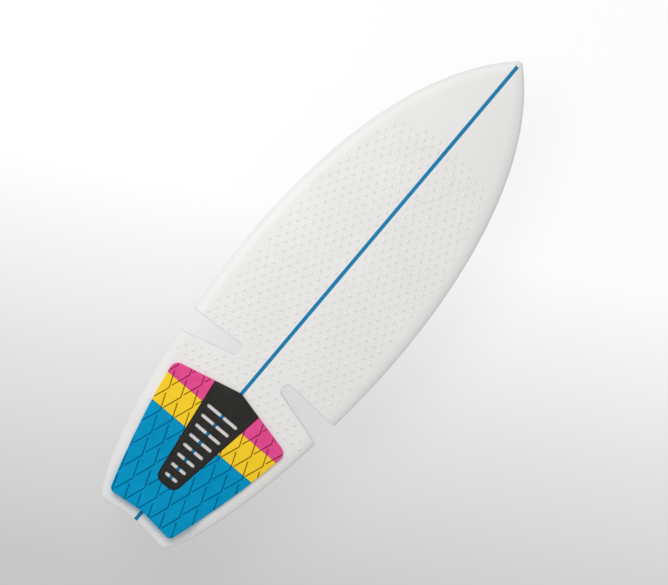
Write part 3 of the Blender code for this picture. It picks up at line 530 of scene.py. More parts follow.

# %% [markdown]
# ## Floor and light
#
# The floor is a sheet of paper. What the camera and reflections see of it is mostly a glow of its own, with
# painted shade that runs from white on one side to pale grey on the other, as behind a product picture,
# and the object's shadow lies faintly on it. All other rays meet plain white paper. It is clear from below,
# so that the underside can be looked at. A soft lamp hangs close above the board's left side, so that the
# deck is lit a little brighter there, and the world fills in from all round.

# %% Rays that see the background
def seen_rays(tree):
    """One for camera, glossy and transmission rays, and nought for all others."""
    ray = node(tree, "LightPath").outputs
    either = node(tree, "Math", {0: ray["Is Camera Ray"], 1: ray["Is Glossy Ray"]}, operation="MAXIMUM")
    inputs = {0: either.outputs[0], 1: ray["Is Transmission Ray"]}
    return node(tree, "Math", inputs, operation="MAXIMUM").outputs[0]


# %% Floor
FLOOR_SIZE = 12
PAPER_SHARE, PAPER_GLOW = 0.80, 1.05
# The ramp paints shade into the floor's glow: white on one side, pale grey on the other, paler again far off.
SHADE_WAY, SHADE_FROM, SHADE_TO = (0.8872, 0.4614, 0), -2.2, 0.111
PAINTED_FLOOR_SHADES = (
    (0, "#E6E6E6"), (0.66, "#BFBFBF"), (0.7486, "#BFBFBF"), (0.8743, "#DFDFDF"), (1, "#FFFFFF"),
)
bpy.ops.mesh.primitive_plane_add(size=FLOOR_SIZE, location=HERE)
floor = named("floor")
floor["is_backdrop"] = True
FLOOR_PAPER, tree, principled, place = shader("floor_paper", Roughness=0.9)
principled.inputs["Specular IOR Level"].default_value = 0.1
principled.inputs["Base Color"].default_value = linear("#EDEDED")
along = node(tree, "VectorMath", {0: place, 1: SHADE_WAY}, operation="DOT_PRODUCT").outputs["Value"]
share = node(tree, "MapRange", {"Value": along, "From Min": SHADE_FROM, "From Max": SHADE_TO})
floor_shade_ramp = node(tree, "ValToRGB", {"Fac": share.outputs["Result"]})
stops = floor_shade_ramp.color_ramp.elements
for position, _ in PAINTED_FLOOR_SHADES[1:-1]:
    stops.new(position)
for stop, (_, colour) in zip(stops, PAINTED_FLOOR_SHADES):
    stop.color = linear(colour)
glow = node(tree, "Emission", {"Color": floor_shade_ramp.outputs["Color"], "Strength": PAPER_GLOW})
share = node(tree, "Math", {0: seen_rays(tree), 1: PAPER_SHARE}, operation="MULTIPLY").outputs[0]
layers = {1: principled.outputs["BSDF"], 2: glow.outputs["Emission"]}
sheet = node(tree, "MixShader", {"Fac": share, **layers}).outputs["Shader"]
clear = node(tree, "BsdfTransparent").outputs["BSDF"]
from_below = node(tree, "NewGeometry").outputs["Backfacing"]
mix = node(tree, "MixShader", {"Fac": from_below, 1: sheet, 2: clear}).outputs["Shader"]
tree.links.new(mix, tree.nodes["Material Output"].inputs["Surface"])
floor.data.materials.append(FLOOR_PAPER)

# %% World and lamp
bpy.context.scene.view_settings.view_transform = "Standard"
world = bpy.data.worlds.new("studio")
bpy.context.scene.world = world
world.use_nodes = True
FILL, PALE = 0.60, 0.93
tree = world.node_tree
sky = tree.nodes["Background"]
level = node(tree, "MapRange", {"Value": seen_rays(tree), "To Min": FILL, "To Max": PALE})
tree.links.new(level.outputs["Result"], sky.inputs["Strength"])
sky.inputs["Color"].default_value = (1, 1, 1, 1)

LAMP_PLACE, LAMP_POWER, LAMP_SIZE = Vector((0.12, 0.60, 1.05)), 5.6, 0.7
bpy.ops.object.light_add(type="AREA", location=LAMP_PLACE)
lamp = bpy.context.object
lamp.name = "window_lamp"
lamp.data.size = LAMP_SIZE
lamp.data.energy = LAMP_POWER
lamp.rotation_euler = (Vector((0, 0, DECK_TOP)) - LAMP_PLACE).to_track_quat("-Z", "Y").to_euler()

# %% [markdown]
# ## The deck's outline
#
# Seen from above the deck is a surfboard. Its nose is a small arc, its sides are two Bezier curves that
# meet at the widest place, and its tail has a shallow notch. Two slots run in from the sides and leave a
# narrow neck. The whole outline, slots included, is drawn as one line, because then all its edges can be
# rounded in one go.

# %% Measures of the deck
LENGTH, WIDTH = 0.857, 0.2766
NOSE_X, TAIL_X = LENGTH / 2, -LENGTH / 2
NOSE_ROUND, NOSE_ANGLE, NOSE_PULL = 0.007, math.radians(48.6), 0.159
WIDEST_FORWARD_PULL, WIDEST_BACK_PULL = 0.100, 0.173
TAIL_PULL, TAIL_ANGLE, TAIL_ROUND = 0.068, math.radians(35.6), 0.012
TAIL_CORNER_Y, TAIL_NOTCH = 0.052, 0.006
DECK_BOTTOM = DECK_TOP - 0.022
SKIN, SKIRT_WALL = 0.0045, 0.005
NECK_X, NECK_HALF, SLOT_WIDTH = -0.142, 0.040, 0.017
SLOT_LEANS = (math.radians(3.1), math.radians(15.7))
SLOT_ROUND = 0.0080
NOSE_RISE, NOSE_RUN, NOSE_THINNING = 0.022, 0.166, 0.006
TAIL_RISE, TAIL_RUN, TAIL_THINNING = 0.010, 0.098, 0.004


# %% Curves
def along_arc(centre, radius, start, end, steps):
    """Points along an arc of a circle, both ends included."""
    turns = [start + (end - start) * i / steps for i in range(steps + 1)]
    return [(centre[0] + radius * math.cos(t), centre[1] + radius * math.sin(t)) for t in turns]


def along_bezier(start, pull_start, pull_end, end, steps):
    """Points along a Bezier curve, without its last one."""
    p0, p1, p2, p3 = (np.array(p, float) for p in (start, pull_start, pull_end, end))
    points = []
    for t in (i / steps for i in range(steps)):
        point = (1 - t) ** 3 * p0 + 3 * (1 - t) ** 2 * t * p1 + 3 * (1 - t) * t**2 * p2 + t**3 * p3
        points.append(tuple(point))
    return points


def fillet(corner, before, after, radius, steps):
    """Points of a fillet of this radius in the corner between two neighbours."""
    corner, before, after = (Vector(p).to_2d() for p in (corner, before, after))
    to_before, to_after = (before - corner).normalized(), (after - corner).normalized()
    half = to_before.angle(to_after) / 2
    centre = corner + (to_before + to_after).normalized() * radius / math.sin(half)
    start = corner + to_before * radius / math.tan(half) - centre
    end = corner + to_after * radius / math.tan(half) - centre
    turn = math.pi - 2 * half
    mixes = [(math.sin((1 - i / steps) * turn), math.sin(i / steps * turn)) for i in range(steps + 1)]
    return [tuple(centre + (start * a + end * b) / math.sin(turn)) for a, b in mixes]


def rounded(outline, radii, steps):
    """An outline with a fillet in each corner that has a radius."""
    points = []
    for i, (corner, radius) in enumerate(zip(outline, radii)):
        neighbours = (outline[i - 1], outline[(i + 1) % len(outline)])
        points += fillet(corner, *neighbours, radius, steps) if radius else [corner]
    return points


def mirrored(half):
    """A closed outline from its left half, whose first and last points are on the centre line."""
    return list(half) + [(x, -y) for x, y in reversed(half[1:-1])]


def deck_side(steps=44, corner_steps=9):
    """The deck's left edge from the nose's tip to the tail's notch, without its slot."""
    quarter = math.pi / 2
    nose = along_arc((NOSE_X - NOSE_ROUND, 0), NOSE_ROUND, 0, quarter - NOSE_ANGLE, corner_steps)
    corner = (TAIL_X + TAIL_ROUND, TAIL_CORNER_Y)
    across, along = corner[1], TAIL_ROUND - TAIL_NOTCH
    lean = math.atan2(across, along) - math.acos(TAIL_ROUND / math.hypot(across, along))
    tail = along_arc(corner, TAIL_ROUND, quarter + TAIL_ANGLE, math.pi + lean, corner_steps)
    shoulder, hip = nose.pop(), tail[0]
    wide = WIDTH / 2
    nose_x, nose_y = NOSE_PULL * math.cos(NOSE_ANGLE), NOSE_PULL * math.sin(NOSE_ANGLE)
    tail_x, tail_y = TAIL_PULL * math.cos(TAIL_ANGLE), TAIL_PULL * math.sin(TAIL_ANGLE)
    nose_pull, tail_pull = (shoulder[0] - nose_x, shoulder[1] + nose_y), (hip[0] + tail_x, hip[1] + tail_y)
    front = along_bezier(shoulder, nose_pull, (WIDEST_FORWARD_PULL, wide), (0, wide), steps)
    rear = along_bezier((0, wide), (-WIDEST_BACK_PULL, wide), tail_pull, hip, steps)
    return nose + front + rear + tail + [(TAIL_X + TAIL_NOTCH, 0)]


DECK_SIDE = deck_side()


def half_width(x):
    """Half of the deck's width at a place along it."""
    edge = sorted(DECK_SIDE)
    return float(np.interp(x, [p[0] for p in edge], [p[1] for p in edge]))


def slot_wall(y, end):
    """Where a slot's front wall (end 0) or rear wall (end 1) is at a distance from the middle."""
    start = NECK_X + SLOT_WIDTH / 2 - end * SLOT_WIDTH
    return start - (y - NECK_HALF) * math.tan(SLOT_LEANS[end])


def slot_mouth(end):
    """The point where a slot's wall meets the deck's side."""
    y = WIDTH / 2
    for _ in range(20):
        y = half_width(slot_wall(y, end))
    return (slot_wall(y, end), y)


def row_of(outline, offset, z):
    """The outline moved inwards and set at a height, each by one number or by one for each point."""
    points = np.array(outline, float)
    before, after = points - np.roll(points, 1, axis=0), np.roll(points, -1, axis=0) - points
    middle = 0
    for way in (before, after):
        middle = middle + np.stack((-way[:, 1], way[:, 0]), 1) / np.linalg.norm(way, axis=1)[:, None]
    shift = 2 * middle / (middle**2).sum(1)[:, None]
    moved_in = points + shift * np.broadcast_to(offset, len(points))[:, None]
    return np.column_stack((moved_in, np.broadcast_to(z, len(points))))


DECK_OUTLINE = mirrored(deck_side())
print("deck outline:", len(DECK_OUTLINE), "points; slot mouths at", slot_mouth(0), slot_mouth(1))

# %% [markdown]
# ## The deck's body and its rails
#
# The outline is extruded again and again, and each new row of points is put in its place: up the bottom
# lip, up the side, and over the rail in a quarter of an ellipse, 17 mm wide and 8 mm high. A Bevel
# modifier would give the rail one width all round. Rows can make it narrower at the nose and the tail's
# corners, where there is no room for it. The last row lies in the flat top. It keeps the rail's slope
# from spreading into the flat when the surface is shaded smooth.

# %% Rows of the deck
RAIL_WIDTH, RAIL_HEIGHT, LIP, SUPPORT = 0.0170, 0.0080, 0.0015, 0.0012
TAIL_RAIL_WIDTH, TAIL_RAIL_RUN, NOSE_RAIL_SHARE = 0.0105, 0.070, 0.72
RAIL_STEPS, LIP_STEPS = 12, 3


def lofted(name, rows):
    """A closed body from rows of points: each row is extruded from the last one and put in its place."""
    rows = [[Vector(point) for point in row] for row in rows]
    obj = drawn(name, rows[0])
    with editing(obj, "EDGE", "SELECT"):
        for before, after in zip(rows, rows[1:]):
            nearest = KDTree(len(before))
            for i, point in enumerate(before):
                nearest.insert(point, i)
            nearest.balance()
            bpy.ops.mesh.extrude_region_move()
            shape = bmesh.from_edit_mesh(obj.data)
            for vert in shape.verts:
                if vert.select:
                    vert.co = after[nearest.find(vert.co)[1]]
            bmesh.update_edit_mesh(obj.data)
        bpy.ops.mesh.edge_face_add()
        bpy.ops.mesh.select_all(action="DESELECT")
        bpy.ops.mesh.select_non_manifold()
        bpy.ops.mesh.edge_face_add()
        bpy.ops.mesh.select_all(action="SELECT")
        bpy.ops.mesh.normals_make_consistent(inside=False)
    return obj


def rail_widths(outline):
    """The rail's width at each point, less where the nose and the tail's corners leave no room."""
    points = np.array(outline)
    room = np.maximum(np.abs(points[:, 1]) / math.cos(NOSE_ANGLE), NOSE_ROUND) * NOSE_RAIL_SHARE
    nose = np.where(points[:, 0] > 0, room, RAIL_WIDTH)
    tail = np.interp((points[:, 0] - TAIL_X) / TAIL_RAIL_RUN, (0.3, 1), (TAIL_RAIL_WIDTH, RAIL_WIDTH))
    return np.minimum(RAIL_WIDTH, np.minimum(nose, tail))


def deck_rows(outline):
    """Every row of the deck, from the bottom's edge to the flat of the top."""
    wide = rail_widths(outline)
    high = np.minimum(wide, RAIL_HEIGHT)
    rows = []
    for t in np.linspace(0, math.pi / 2, LIP_STEPS + 1):
        rows.append(row_of(outline, LIP * (1 - math.sin(t)), DECK_BOTTOM + LIP * (1 - math.cos(t))))
    rows.append(row_of(outline, 0, DECK_TOP - high - SUPPORT))
    for t in np.linspace(0, math.pi / 2, RAIL_STEPS + 1):
        rows.append(row_of(outline, wide * (1 - math.cos(t)), DECK_TOP - high * (1 - math.sin(t))))
    rows.append(row_of(outline, wide + SUPPORT, DECK_TOP))
    return rows


deck = lofted("deck", deck_rows(DECK_OUTLINE))
print("deck body:", len(deck.data.polygons), "faces")

# %% [markdown]
# ## The neck's slots
#
# A slot's edge is rounded to 2 mm all along, also where it runs down over the rail. The tool that cuts
# the slot has that rounding built in: it is lofted from rows too, which widen towards the top and follow
# the deck's height at each point. Small round-cornered prisms then take the sharp corners off the mouths.
# They sink a little deeper than the walls and cross them at an angle, because faces that just touch
# confuse a Boolean. There are tools for the left side only: the deck is mirrored after each cut, and
# again at the end.

# %% Slot cutters
SLOT_EDGE, SLOT_EDGE_STEPS, MOUTH_ROUND, MOUTH_SINK = 0.0020, 4, 0.003, 0.00004
EDGE_SINK, TOP_CLEAR = 0.00002, 0.000005
WALL_STEPS, MOUTH_REACH = 60, 0.02
BEYOND = 0.05
UNDER = DECK_BOTTOM - BEYOND


def slot_outline(side, grow=0.0, steps=8):
    """One slot's outline, open beyond the deck's edge, which may be grown by a wall."""
    inner, outer = NECK_HALF - grow, WIDTH / 2 + BEYOND
    front, rear = slot_wall(NECK_HALF, 0) + grow, slot_wall(NECK_HALF, 1) - grow
    reach = outer - inner
    box = [
        (front, inner),
        (front - reach * math.tan(SLOT_LEANS[0]), outer),
        (rear - reach * math.tan(SLOT_LEANS[1]), outer),
        (rear, inner),
    ]
    outline = rounded(box, [SLOT_ROUND + grow, 0, 0, SLOT_ROUND + grow], steps)
    return outline if side > 0 else [(x, -y) for x, y in reversed(outline)]


def top_over(x, y):
    """The height of the flat deck's top, which falls away over the rail."""
    slope = math.atan2(half_width(x + 0.01) - half_width(x - 0.01), 0.02)
    inside = np.clip((half_width(x) - abs(y)) * math.cos(slope), 0, RAIL_WIDTH)
    turns = np.linspace(0, math.pi / 2, RAIL_STEPS + 1)
    across, down = RAIL_WIDTH * (1 - np.cos(turns)), RAIL_HEIGHT * (1 - np.sin(turns))
    return DECK_TOP - float(np.interp(inside, across, down))


def slot_cutter():
    """The tool for the left slot, with the rounding of its edge built in."""
    plain = slot_outline(1)
    outline = []
    for here, there in zip(plain, plain[1:] + plain[:1]):
        is_wall = math.dist(here, there) > BEYOND and abs(here[1]) + abs(there[1]) < WIDTH + BEYOND
        for t in np.linspace(0, 1, WALL_STEPS + 1)[:-1] if is_wall else [0]:
            outline.append((here[0] + t * (there[0] - here[0]), here[1] + t * (there[1] - here[1])))
    tops = np.array([top_over(x, y) for x, y in outline])
    rows = [row_of(outline, 0, UNDER)]
    for t in np.linspace(0, math.pi / 2, SLOT_EDGE_STEPS + 1):
        heights = tops - SLOT_EDGE * (1 - math.sin(t)) - EDGE_SINK
        rows.append(row_of(outline, -SLOT_EDGE * (1 - math.cos(t)), heights))
    rows.append(row_of(outline, -SLOT_EDGE - SUPPORT, tops + TOP_CLEAR))
    rows.append(row_of(outline, -SLOT_EDGE - SUPPORT, DECK_TOP + BEYOND))
    return lofted("slot_cutter", rows)


def mouth_cutter(end):
    """A prism that rounds the corner between a slot's wall and the deck's side, seen from above."""
    tip, away, reach = slot_mouth(end), 1 - 2 * end, 1.7 * MOUTH_ROUND
    corner = (tip[0] + away * MOUTH_SINK, tip[1] - MOUTH_SINK)
    wall = (slot_wall(tip[1] - MOUTH_REACH, end) + away * MOUTH_SINK, tip[1] - MOUTH_REACH)
    beside = (corner[0] + away * MOUTH_REACH, half_width(tip[0] + away * MOUTH_REACH) - MOUTH_SINK)
    outline = [(slot_wall(tip[1] - reach, end) - away * MM / 2, tip[1] - reach)]
    outline += fillet(corner, wall, beside, MOUTH_ROUND, 6)
    outline.append((tip[0] + away * reach, half_width(tip[0] + away * reach) + MM / 2))
    outline.append((tip[0] - away * MM, tip[1] + MM))
    return plate("mouth_cutter", outline, UNDER, DECK_TOP + BEYOND)


def turned_over(obj):
    """The mirror image of a piece, left for right."""
    moved(obj, Matrix.Diagonal((1, -1, 1, 1)))
    with editing(obj, action="SELECT"):
        bpy.ops.mesh.normals_make_consistent(inside=False)
    return obj


for _ in range(2):
    turned_over(carved(deck, slot_cutter()))
for _ in range(2):
    for end in (0, 1):
        carved(deck, mouth_cutter(end))
    turned_over(deck)
print("deck with slots:", len(deck.data.polygons), "faces")

# %% [markdown]
# ## Underneath
#
# A moulded deck is hollow below, with ribs that stiffen its skin, a wall along every edge and a round
# boss for each caster. One cutter has the shape of all those pockets together: a plate inside the skirt,
# minus the ribs and bosses. Its own edges are rounded first, and that gives every pocket the fillets that
# a mould needs.

# %% Cutter for the pockets
RIB, RIB_LINES, RIB_PITCH = 0.003, (0.022, 0.072), 0.062
SOLID_NOSE, SOLID_TAIL, NECK_WALL = 0.030, 0.012, 0.004
TRUCKS = {"front": 0.222, "rear": -0.290}
BOSS_RADIUS, SCREW_RADIUS = 0.039, 0.0025
BOSS_BOTTOM = DECK_TOP - SKIN - 0.0112


def pockets():
    """The space under the skin, between the skirt, the ribs, the bosses and the walls along the slots."""
    side, top = WIDTH, DECK_TOP
    inner = [tuple(point[:2]) for point in row_of(mirrored(deck_side(24, 5)), SKIRT_WALL, 0)]
    space = plate("pockets", inner, UNDER, DECK_TOP - SKIN)
    keep = [
        ((NOSE_X - SOLID_NOSE, -side), (NOSE_X + BEYOND, side)),
        ((TAIL_X - BEYOND, -side), (TAIL_X + TAIL_NOTCH + SOLID_TAIL, side)),
        ((NECK_X - SLOT_WIDTH / 2, -side), (NECK_X + SLOT_WIDTH / 2, side)),
    ]
    for y in (*RIB_LINES, *[-line for line in RIB_LINES]):
        keep.append(((TAIL_X - BEYOND, y - RIB / 2), (NOSE_X + BEYOND, y + RIB / 2)))
    for way, end in ((1, NOSE_X), (-1, TAIL_X)):
        for x in np.arange(NECK_X + way * (SLOT_WIDTH / 2 + RIB_PITCH), end, way * RIB_PITCH):
            keep.append(((x - RIB / 2, -side), (x + RIB / 2, side)))
    for low, high in keep:
        carved(space, block("keep", (*low, UNDER - MM), (*high, top)))
    for x in TRUCKS.values():
        carved(space, rod("keep_boss", BOSS_RADIUS, UNDER - MM, top, centre=(x, 0)))
    for way in (1, -1):
        carved(space, plate("keep_wall", slot_outline(way, NECK_WALL), UNDER - MM, top))
    return space


space = pockets()
print("pockets:", len(space.data.polygons), "faces")

# %% Hollow and screw holes
SCREW_CIRCLE, SCREW_ANGLES, SCREW_BITE = 0.0335, (50, 125, -125, -50), 0.0095
POCKET_ROUND, GAP = 0.0012, 0.0003


def screw_places(truck_x):
    """The middles of the four screws round a caster."""
    turns = [math.radians(angle) for angle in SCREW_ANGLES]
    return [(truck_x + SCREW_CIRCLE * math.cos(t), SCREW_CIRCLE * math.sin(t)) for t in turns]


softened(space, POCKET_ROUND, segments=2, angle=50)
carved(deck, space)
for truck_x in TRUCKS.values():
    carved(deck, rod("flange_room", BOSS_RADIUS + SCREW_RADIUS, UNDER, BOSS_BOTTOM, centre=(truck_x, 0)))
    for spot in screw_places(truck_x):
        hole_top = BOSS_BOTTOM + SCREW_BITE + GAP
        carved(deck, rod("screw_hole", SCREW_RADIUS + GAP, UNDER, hole_top, 16, centre=spot))
print("deck when hollowed:", len(deck.data.polygons), "faces")

# %% [markdown]
# ## Rocker
#
# The nose and the tail curve upwards, and the deck gets thinner there. A flat mesh bends only where it
# has edges, so it is bisected across at many places first, and then every point is raised by the curve of
# the rocker.

# %% Rocker
NOSE_CUTS, TAIL_CUTS = 24, 16


def end_curve(x, at_nose, at_tail):
    """A curve that is level in the middle and reaches these values at the deck's two ends."""
    forward = np.maximum(x - (NOSE_X - NOSE_RUN), 0) / NOSE_RUN
    back = np.maximum(TAIL_X + TAIL_RUN - x, 0) / TAIL_RUN
    return at_nose * forward**2 + at_tail * back**2


def lift(x):
    """How far the rocker raises the top at a place along the deck."""
    return end_curve(x, NOSE_RISE, TAIL_RISE)


def bisected(obj, places):
    """Cuts a mesh across the board at these places along it."""
    with editing(obj):
        for x in places:
            bpy.ops.mesh.select_all(action="SELECT")
            bpy.ops.mesh.bisect(plane_co=(x, 0, 0), plane_no=(1, 0, 0))
    return obj


def corners(obj):
    """The mesh's points as an array."""
    flat = np.empty(len(obj.data.vertices) * 3)
    obj.data.vertices.foreach_get("co", flat)
    return flat.reshape(-1, 3)


def put(obj, points):
    """Moves the mesh's points to these places."""
    obj.data.vertices.foreach_set("co", points.ravel())
    obj.data.update()
    return obj


def rockered(obj):
    """Raises a flat piece with the deck's rocker."""
    points = corners(obj)
    depth = np.maximum(DECK_TOP - points[:, 2], 0) / (DECK_TOP - DECK_BOTTOM)
    thinning = end_curve(points[:, 0], NOSE_THINNING, TAIL_THINNING)
    points[:, 2] += lift(points[:, 0]) + thinning * depth
    return put(obj, points)


NOSE_PLACES = [NOSE_X - NOSE_RUN * (1 - i / NOSE_CUTS) for i in range(NOSE_CUTS)]
TAIL_PLACES = [TAIL_X + TAIL_RUN * i / TAIL_CUTS for i in range(1, TAIL_CUTS + 1)]
TWIST_START, TWIST_END, TWIST_CUTS = -0.1390, -0.1505, 10
TWIST_RUN = TWIST_END - TWIST_START
TWIST_PLACES = [TWIST_START + TWIST_RUN * i / TWIST_CUTS for i in range(TWIST_CUTS + 1)]

flat_deck = duplicated(deck, "flat_deck")
bisected(deck, TAIL_PLACES + TWIST_PLACES + NOSE_PLACES)
rockered(deck)
print("deck finished:", len(deck.data.polygons), "faces")

# %% [markdown]
# ## Pieces that cross the neck
#
# The plastic itself twists at the neck. The deck, the stripe and the grip bumps each stay one mesh across it.

# %% Deck across the neck
def across_neck(obj, finish, slot, *nodes):
    """A finished piece that runs across the neck, in place of its solids."""
    dressed(obj, finish)
    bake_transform(obj)
    if nodes:
        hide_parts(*nodes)
    return obj


across_neck(deck, DECK_WHITE, "deck_polymer", "deck_front", "deck_rear")

# %% [markdown]
# ## Stripe
#
# The stripe runs from the nose to the tail and under the pad. It is a strip of faces that is pressed onto
# the deck's top by a Shrinkwrap modifier, so that it follows the rail's rounding at both ends, and then
# thickened.

# %% Stripe
STRIPE_WIDTH, STRIPE_THICKNESS, STRIPE_PROUD = 0.0055, 0.0004, 0.00012
STRIPE_TAIL, STRIPE_NOSE = TAIL_X + TAIL_NOTCH + 0.0008, NOSE_X - 0.0042
FINE, TAIL_FINE, NOSE_FINE = 0.0007, 17, 13
bpy.ops.object.select_all(action="DESELECT")
middle_x = (STRIPE_TAIL + STRIPE_NOSE) / 2
bpy.ops.mesh.primitive_plane_add(size=1, location=(middle_x, 0, DECK_TOP + 0.01))
stripe = named("stripe")
with editing(stripe, action="SELECT"):
    bpy.ops.transform.resize(value=(STRIPE_NOSE - STRIPE_TAIL, STRIPE_WIDTH, 1))
moved(stripe, Matrix())
fine = [STRIPE_TAIL + FINE * i for i in range(1, TAIL_FINE + 1)]
fine += [STRIPE_NOSE - FINE * i for i in range(1, NOSE_FINE + 1)]
bisected(stripe, sorted(fine + TAIL_PLACES + TWIST_PLACES + NOSE_PLACES))
modified(
    stripe,
    "SHRINKWRAP",
    target=flat_deck,
    wrap_method="PROJECT",
    use_project_x=False,
    use_project_y=False,
    use_project_z=True,
    use_negative_direction=True,
    use_positive_direction=False,
    offset=STRIPE_PROUD,
)
modified(stripe, "SOLIDIFY", thickness=STRIPE_THICKNESS, offset=-1)
rockered(stripe)
across_neck(stripe, STRIPE_BLUE, "stringer_vinyl", "stringer_front", "stringer_rear")
bpy.data.objects.remove(flat_deck)
print("stripe:", len(stripe.data.polygons), "faces")

# %% [markdown]
# ## Ring over the front caster
#
# The photograph shows a faint ring of 78 mm on the deck above the front caster, where the moulded boss is
# under the skin. It is a low rounded ridge, turned from a small profile.

# %% Ring
RING_RADIUS, RING_HALF, RING_HEIGHT, RING_SUNK = 0.039, 0.0007, 0.0007, 0.0002
turns = np.linspace(0, math.pi, 7)
crest = [(RING_RADIUS + RING_HALF * math.cos(t), RING_HEIGHT * math.sin(t)) for t in turns]
sunk = [(RING_RADIUS - RING_HALF, -RING_SUNK), (RING_RADIUS + RING_HALF, -RING_SUNK)]
ring = turned("boss_ring", crest + sunk, 96)
moved(ring, Matrix.Translation((TRUCKS["front"], 0, DECK_TOP)))
side_room = STRIPE_WIDTH / 2 + 0.0004
carved(ring, block("stripe_room", (0, -side_room, DECK_BOTTOM), (NOSE_X, side_room, DECK_TOP + BEYOND)))
placed(ring, DECK_WHITE, "deck_polymer", "front_deck")

# %% [markdown]
# ## Grip bumps
#
# The bumps are low domes in two lattices that are staggered by half a step. One dome is modelled, and
# Array modifiers repeat it along and across the board and Mirror over to the other side. Then the ones
# that would fall off the grip area, into a slot or under the pad are deleted, and the ones near the side
# sink with the rail.

# %% One dome
BUMP_RADIUS, BUMP_HEIGHT, BUMP_SUNK = 0.0026, 0.0013, 0.0002
COLUMN_PITCH, ROW_PITCH = 0.01129, 0.013
ROWS = {0: 0.0085, 1: 0.0152}
FIRST_COLUMN_X, COLUMNS, ROW_COUNT = -0.19574, 42, 9


def dome(name):
    """A low dome that is sunk a little into the deck."""
    crown = [(BUMP_RADIUS * math.cos(t), BUMP_HEIGHT * math.sin(t)) for t in np.linspace(0, math.pi / 2, 4)]
    return turned(name, crown[:-1] + [(0, BUMP_HEIGHT), (0, -BUMP_SUNK), (BUMP_RADIUS, -BUMP_SUNK)], 8)


# %% Lattices
def repeated(obj, count, step):
    """Repeats a piece with an Array modifier, a fixed step at a time."""
    fixed = {"use_relative_offset": False, "use_constant_offset": True}
    return modified(obj, "ARRAY", count=count, constant_offset_displace=step, **fixed)


LIMITS = [
    (-0.250, 0.1125), (0.120, 0.1125), (0.152, 0.106), (0.180, 0.100), (0.221, 0.093),
    (0.232, 0.087), (0.244, 0.0805), (0.255, 0.0745), (0.267, 0.055), (0.270, 0.0),
]
PAD_FRONT_CORNER, PAD_APEX_X, PAD_CLEAR = (-0.2125, 0.1041), -0.1875, 0.006
SLOT_CLEAR = 0.0065


def has_bump(x, y):
    """Whether the deck has a bump there."""
    away = abs(y)
    if away > np.interp(x, [p[0] for p in LIMITS], [p[1] for p in LIMITS]) + MM:
        return False
    pad_edge = PAD_APEX_X + (PAD_FRONT_CORNER[0] - PAD_APEX_X) * away / PAD_FRONT_CORNER[1]
    if x < pad_edge + PAD_CLEAR:
        return False
    if away > NECK_HALF - SLOT_CLEAR:
        return not slot_wall(away, 1) - SLOT_CLEAR < x < slot_wall(away, 0) + SLOT_CLEAR
    return True


def lattice(parity):
    """Every second column of bumps, over the whole board."""
    bumps = moved(
        dome(f"bumps_{parity}"),
        Matrix.Translation((FIRST_COLUMN_X + parity * COLUMN_PITCH, ROWS[parity], DECK_TOP)),
    )
    repeated(bumps, COLUMNS // 2, (2 * COLUMN_PITCH, 0, 0))
    repeated(bumps, ROW_COUNT, (0, ROW_PITCH, 0))
    modified(bumps, "MIRROR", use_axis=(False, True, False), use_mirror_merge=False)
    return bumps


bumps = joined("grip_bumps", [lattice(0), lattice(1)])
drops = {}
with editing(bumps, "VERT"):
    shape = bmesh.from_edit_mesh(bumps.data)
    for vert in shape.verts:
        column = round((vert.co.x - FIRST_COLUMN_X) / COLUMN_PITCH)
        first = ROWS[column % 2]
        row = round((abs(vert.co.y) - first) / ROW_PITCH)
        middle = (FIRST_COLUMN_X + column * COLUMN_PITCH, math.copysign(first + row * ROW_PITCH, vert.co.y))
        vert.select_set(not has_bump(*middle))
        if middle not in drops:
            drops[middle] = DECK_TOP - top_over(*middle)
        vert.co.z -= drops[middle]
    shape.select_flush_mode()
    bpy.ops.mesh.delete(type="VERT")
points = corners(bumps)
points[:, 2] += lift(points[:, 0])
put(bumps, points)
across_neck(bumps, DECK_WHITE, "deck_polymer")
print("bumps:", len(bumps.data.polygons), "faces")

# %% [markdown]
# ## The traction pad
#
# The pad has blue, yellow and pink foam bands on both sides of a black centre piece. Each band starts as
# the whole pad's plate, with its upper edge rounded, and is cut to its own share. Chevron grooves are
# carved into the foam, and the tail end is raised to a kick.

# %% Measures of the pad
PAD_LOW = DECK_TOP + GAP
PAD_HIGH, CENTRE_HIGH = PAD_LOW + 0.004, PAD_LOW + 0.0022
PAD_TAIL_INSET, PAD_TAIL_ROUND, PAD_FRONT_ROUND = 0.0175, 0.008, 0.012
PAD_MARGINS = ((TAIL_X + PAD_TAIL_INSET, 0.0139), (-0.360, 0.0188), (PAD_FRONT_CORNER[0], 0.0180))
BLUE_END_X, YELLOW_END_X = -0.275, -0.231
KICK_START_X, KICK_RUN, KICK_HEIGHT = -0.355, 0.035, 0.009
CENTRE_TAIL_X, CENTRE_TAIL_HALF, CENTRE_FRONT_HALF, CENTRE_TAIL_ROUND = -0.3575, 0.0175, 0.041, 0.013
PAD_SLOTS, PAD_SLOT_FIRST_X, PAD_SLOT_PITCH = 8, -0.3432, 0.0161
PAD_SLOT_WIDTH, PAD_SLOT_MARGIN = 0.005, 0.0086


def pad_half():
    """The pad's left edge, which follows the deck's edge at a margin that is widest at its waist."""
    start = TAIL_X + PAD_TAIL_INSET
    edge = [start + share * (PAD_FRONT_CORNER[0] - start) for share in (0, 0.2, 0.4, 0.6, 0.8, 1)]
    margins = np.interp(edge, [p[0] for p in PAD_MARGINS], [p[1] for p in PAD_MARGINS])
    along = [(x, half_width(x) - margin) for x, margin in zip(edge, margins)]
    return [(TAIL_X + TAIL_NOTCH + PAD_TAIL_INSET, 0), *along, (PAD_APEX_X, 0)]


PAD_HALF = pad_half()


def pad_outline(steps=8):
    """The whole pad's outline, with its four corners rounded."""
    outline = mirrored(PAD_HALF)
    radii = [0] * len(outline)
    radii[1] = radii[-1] = PAD_TAIL_ROUND
    front = len(PAD_HALF) - 2
    radii[front] = radii[-front] = PAD_FRONT_ROUND
    return rounded(outline, radii, steps)


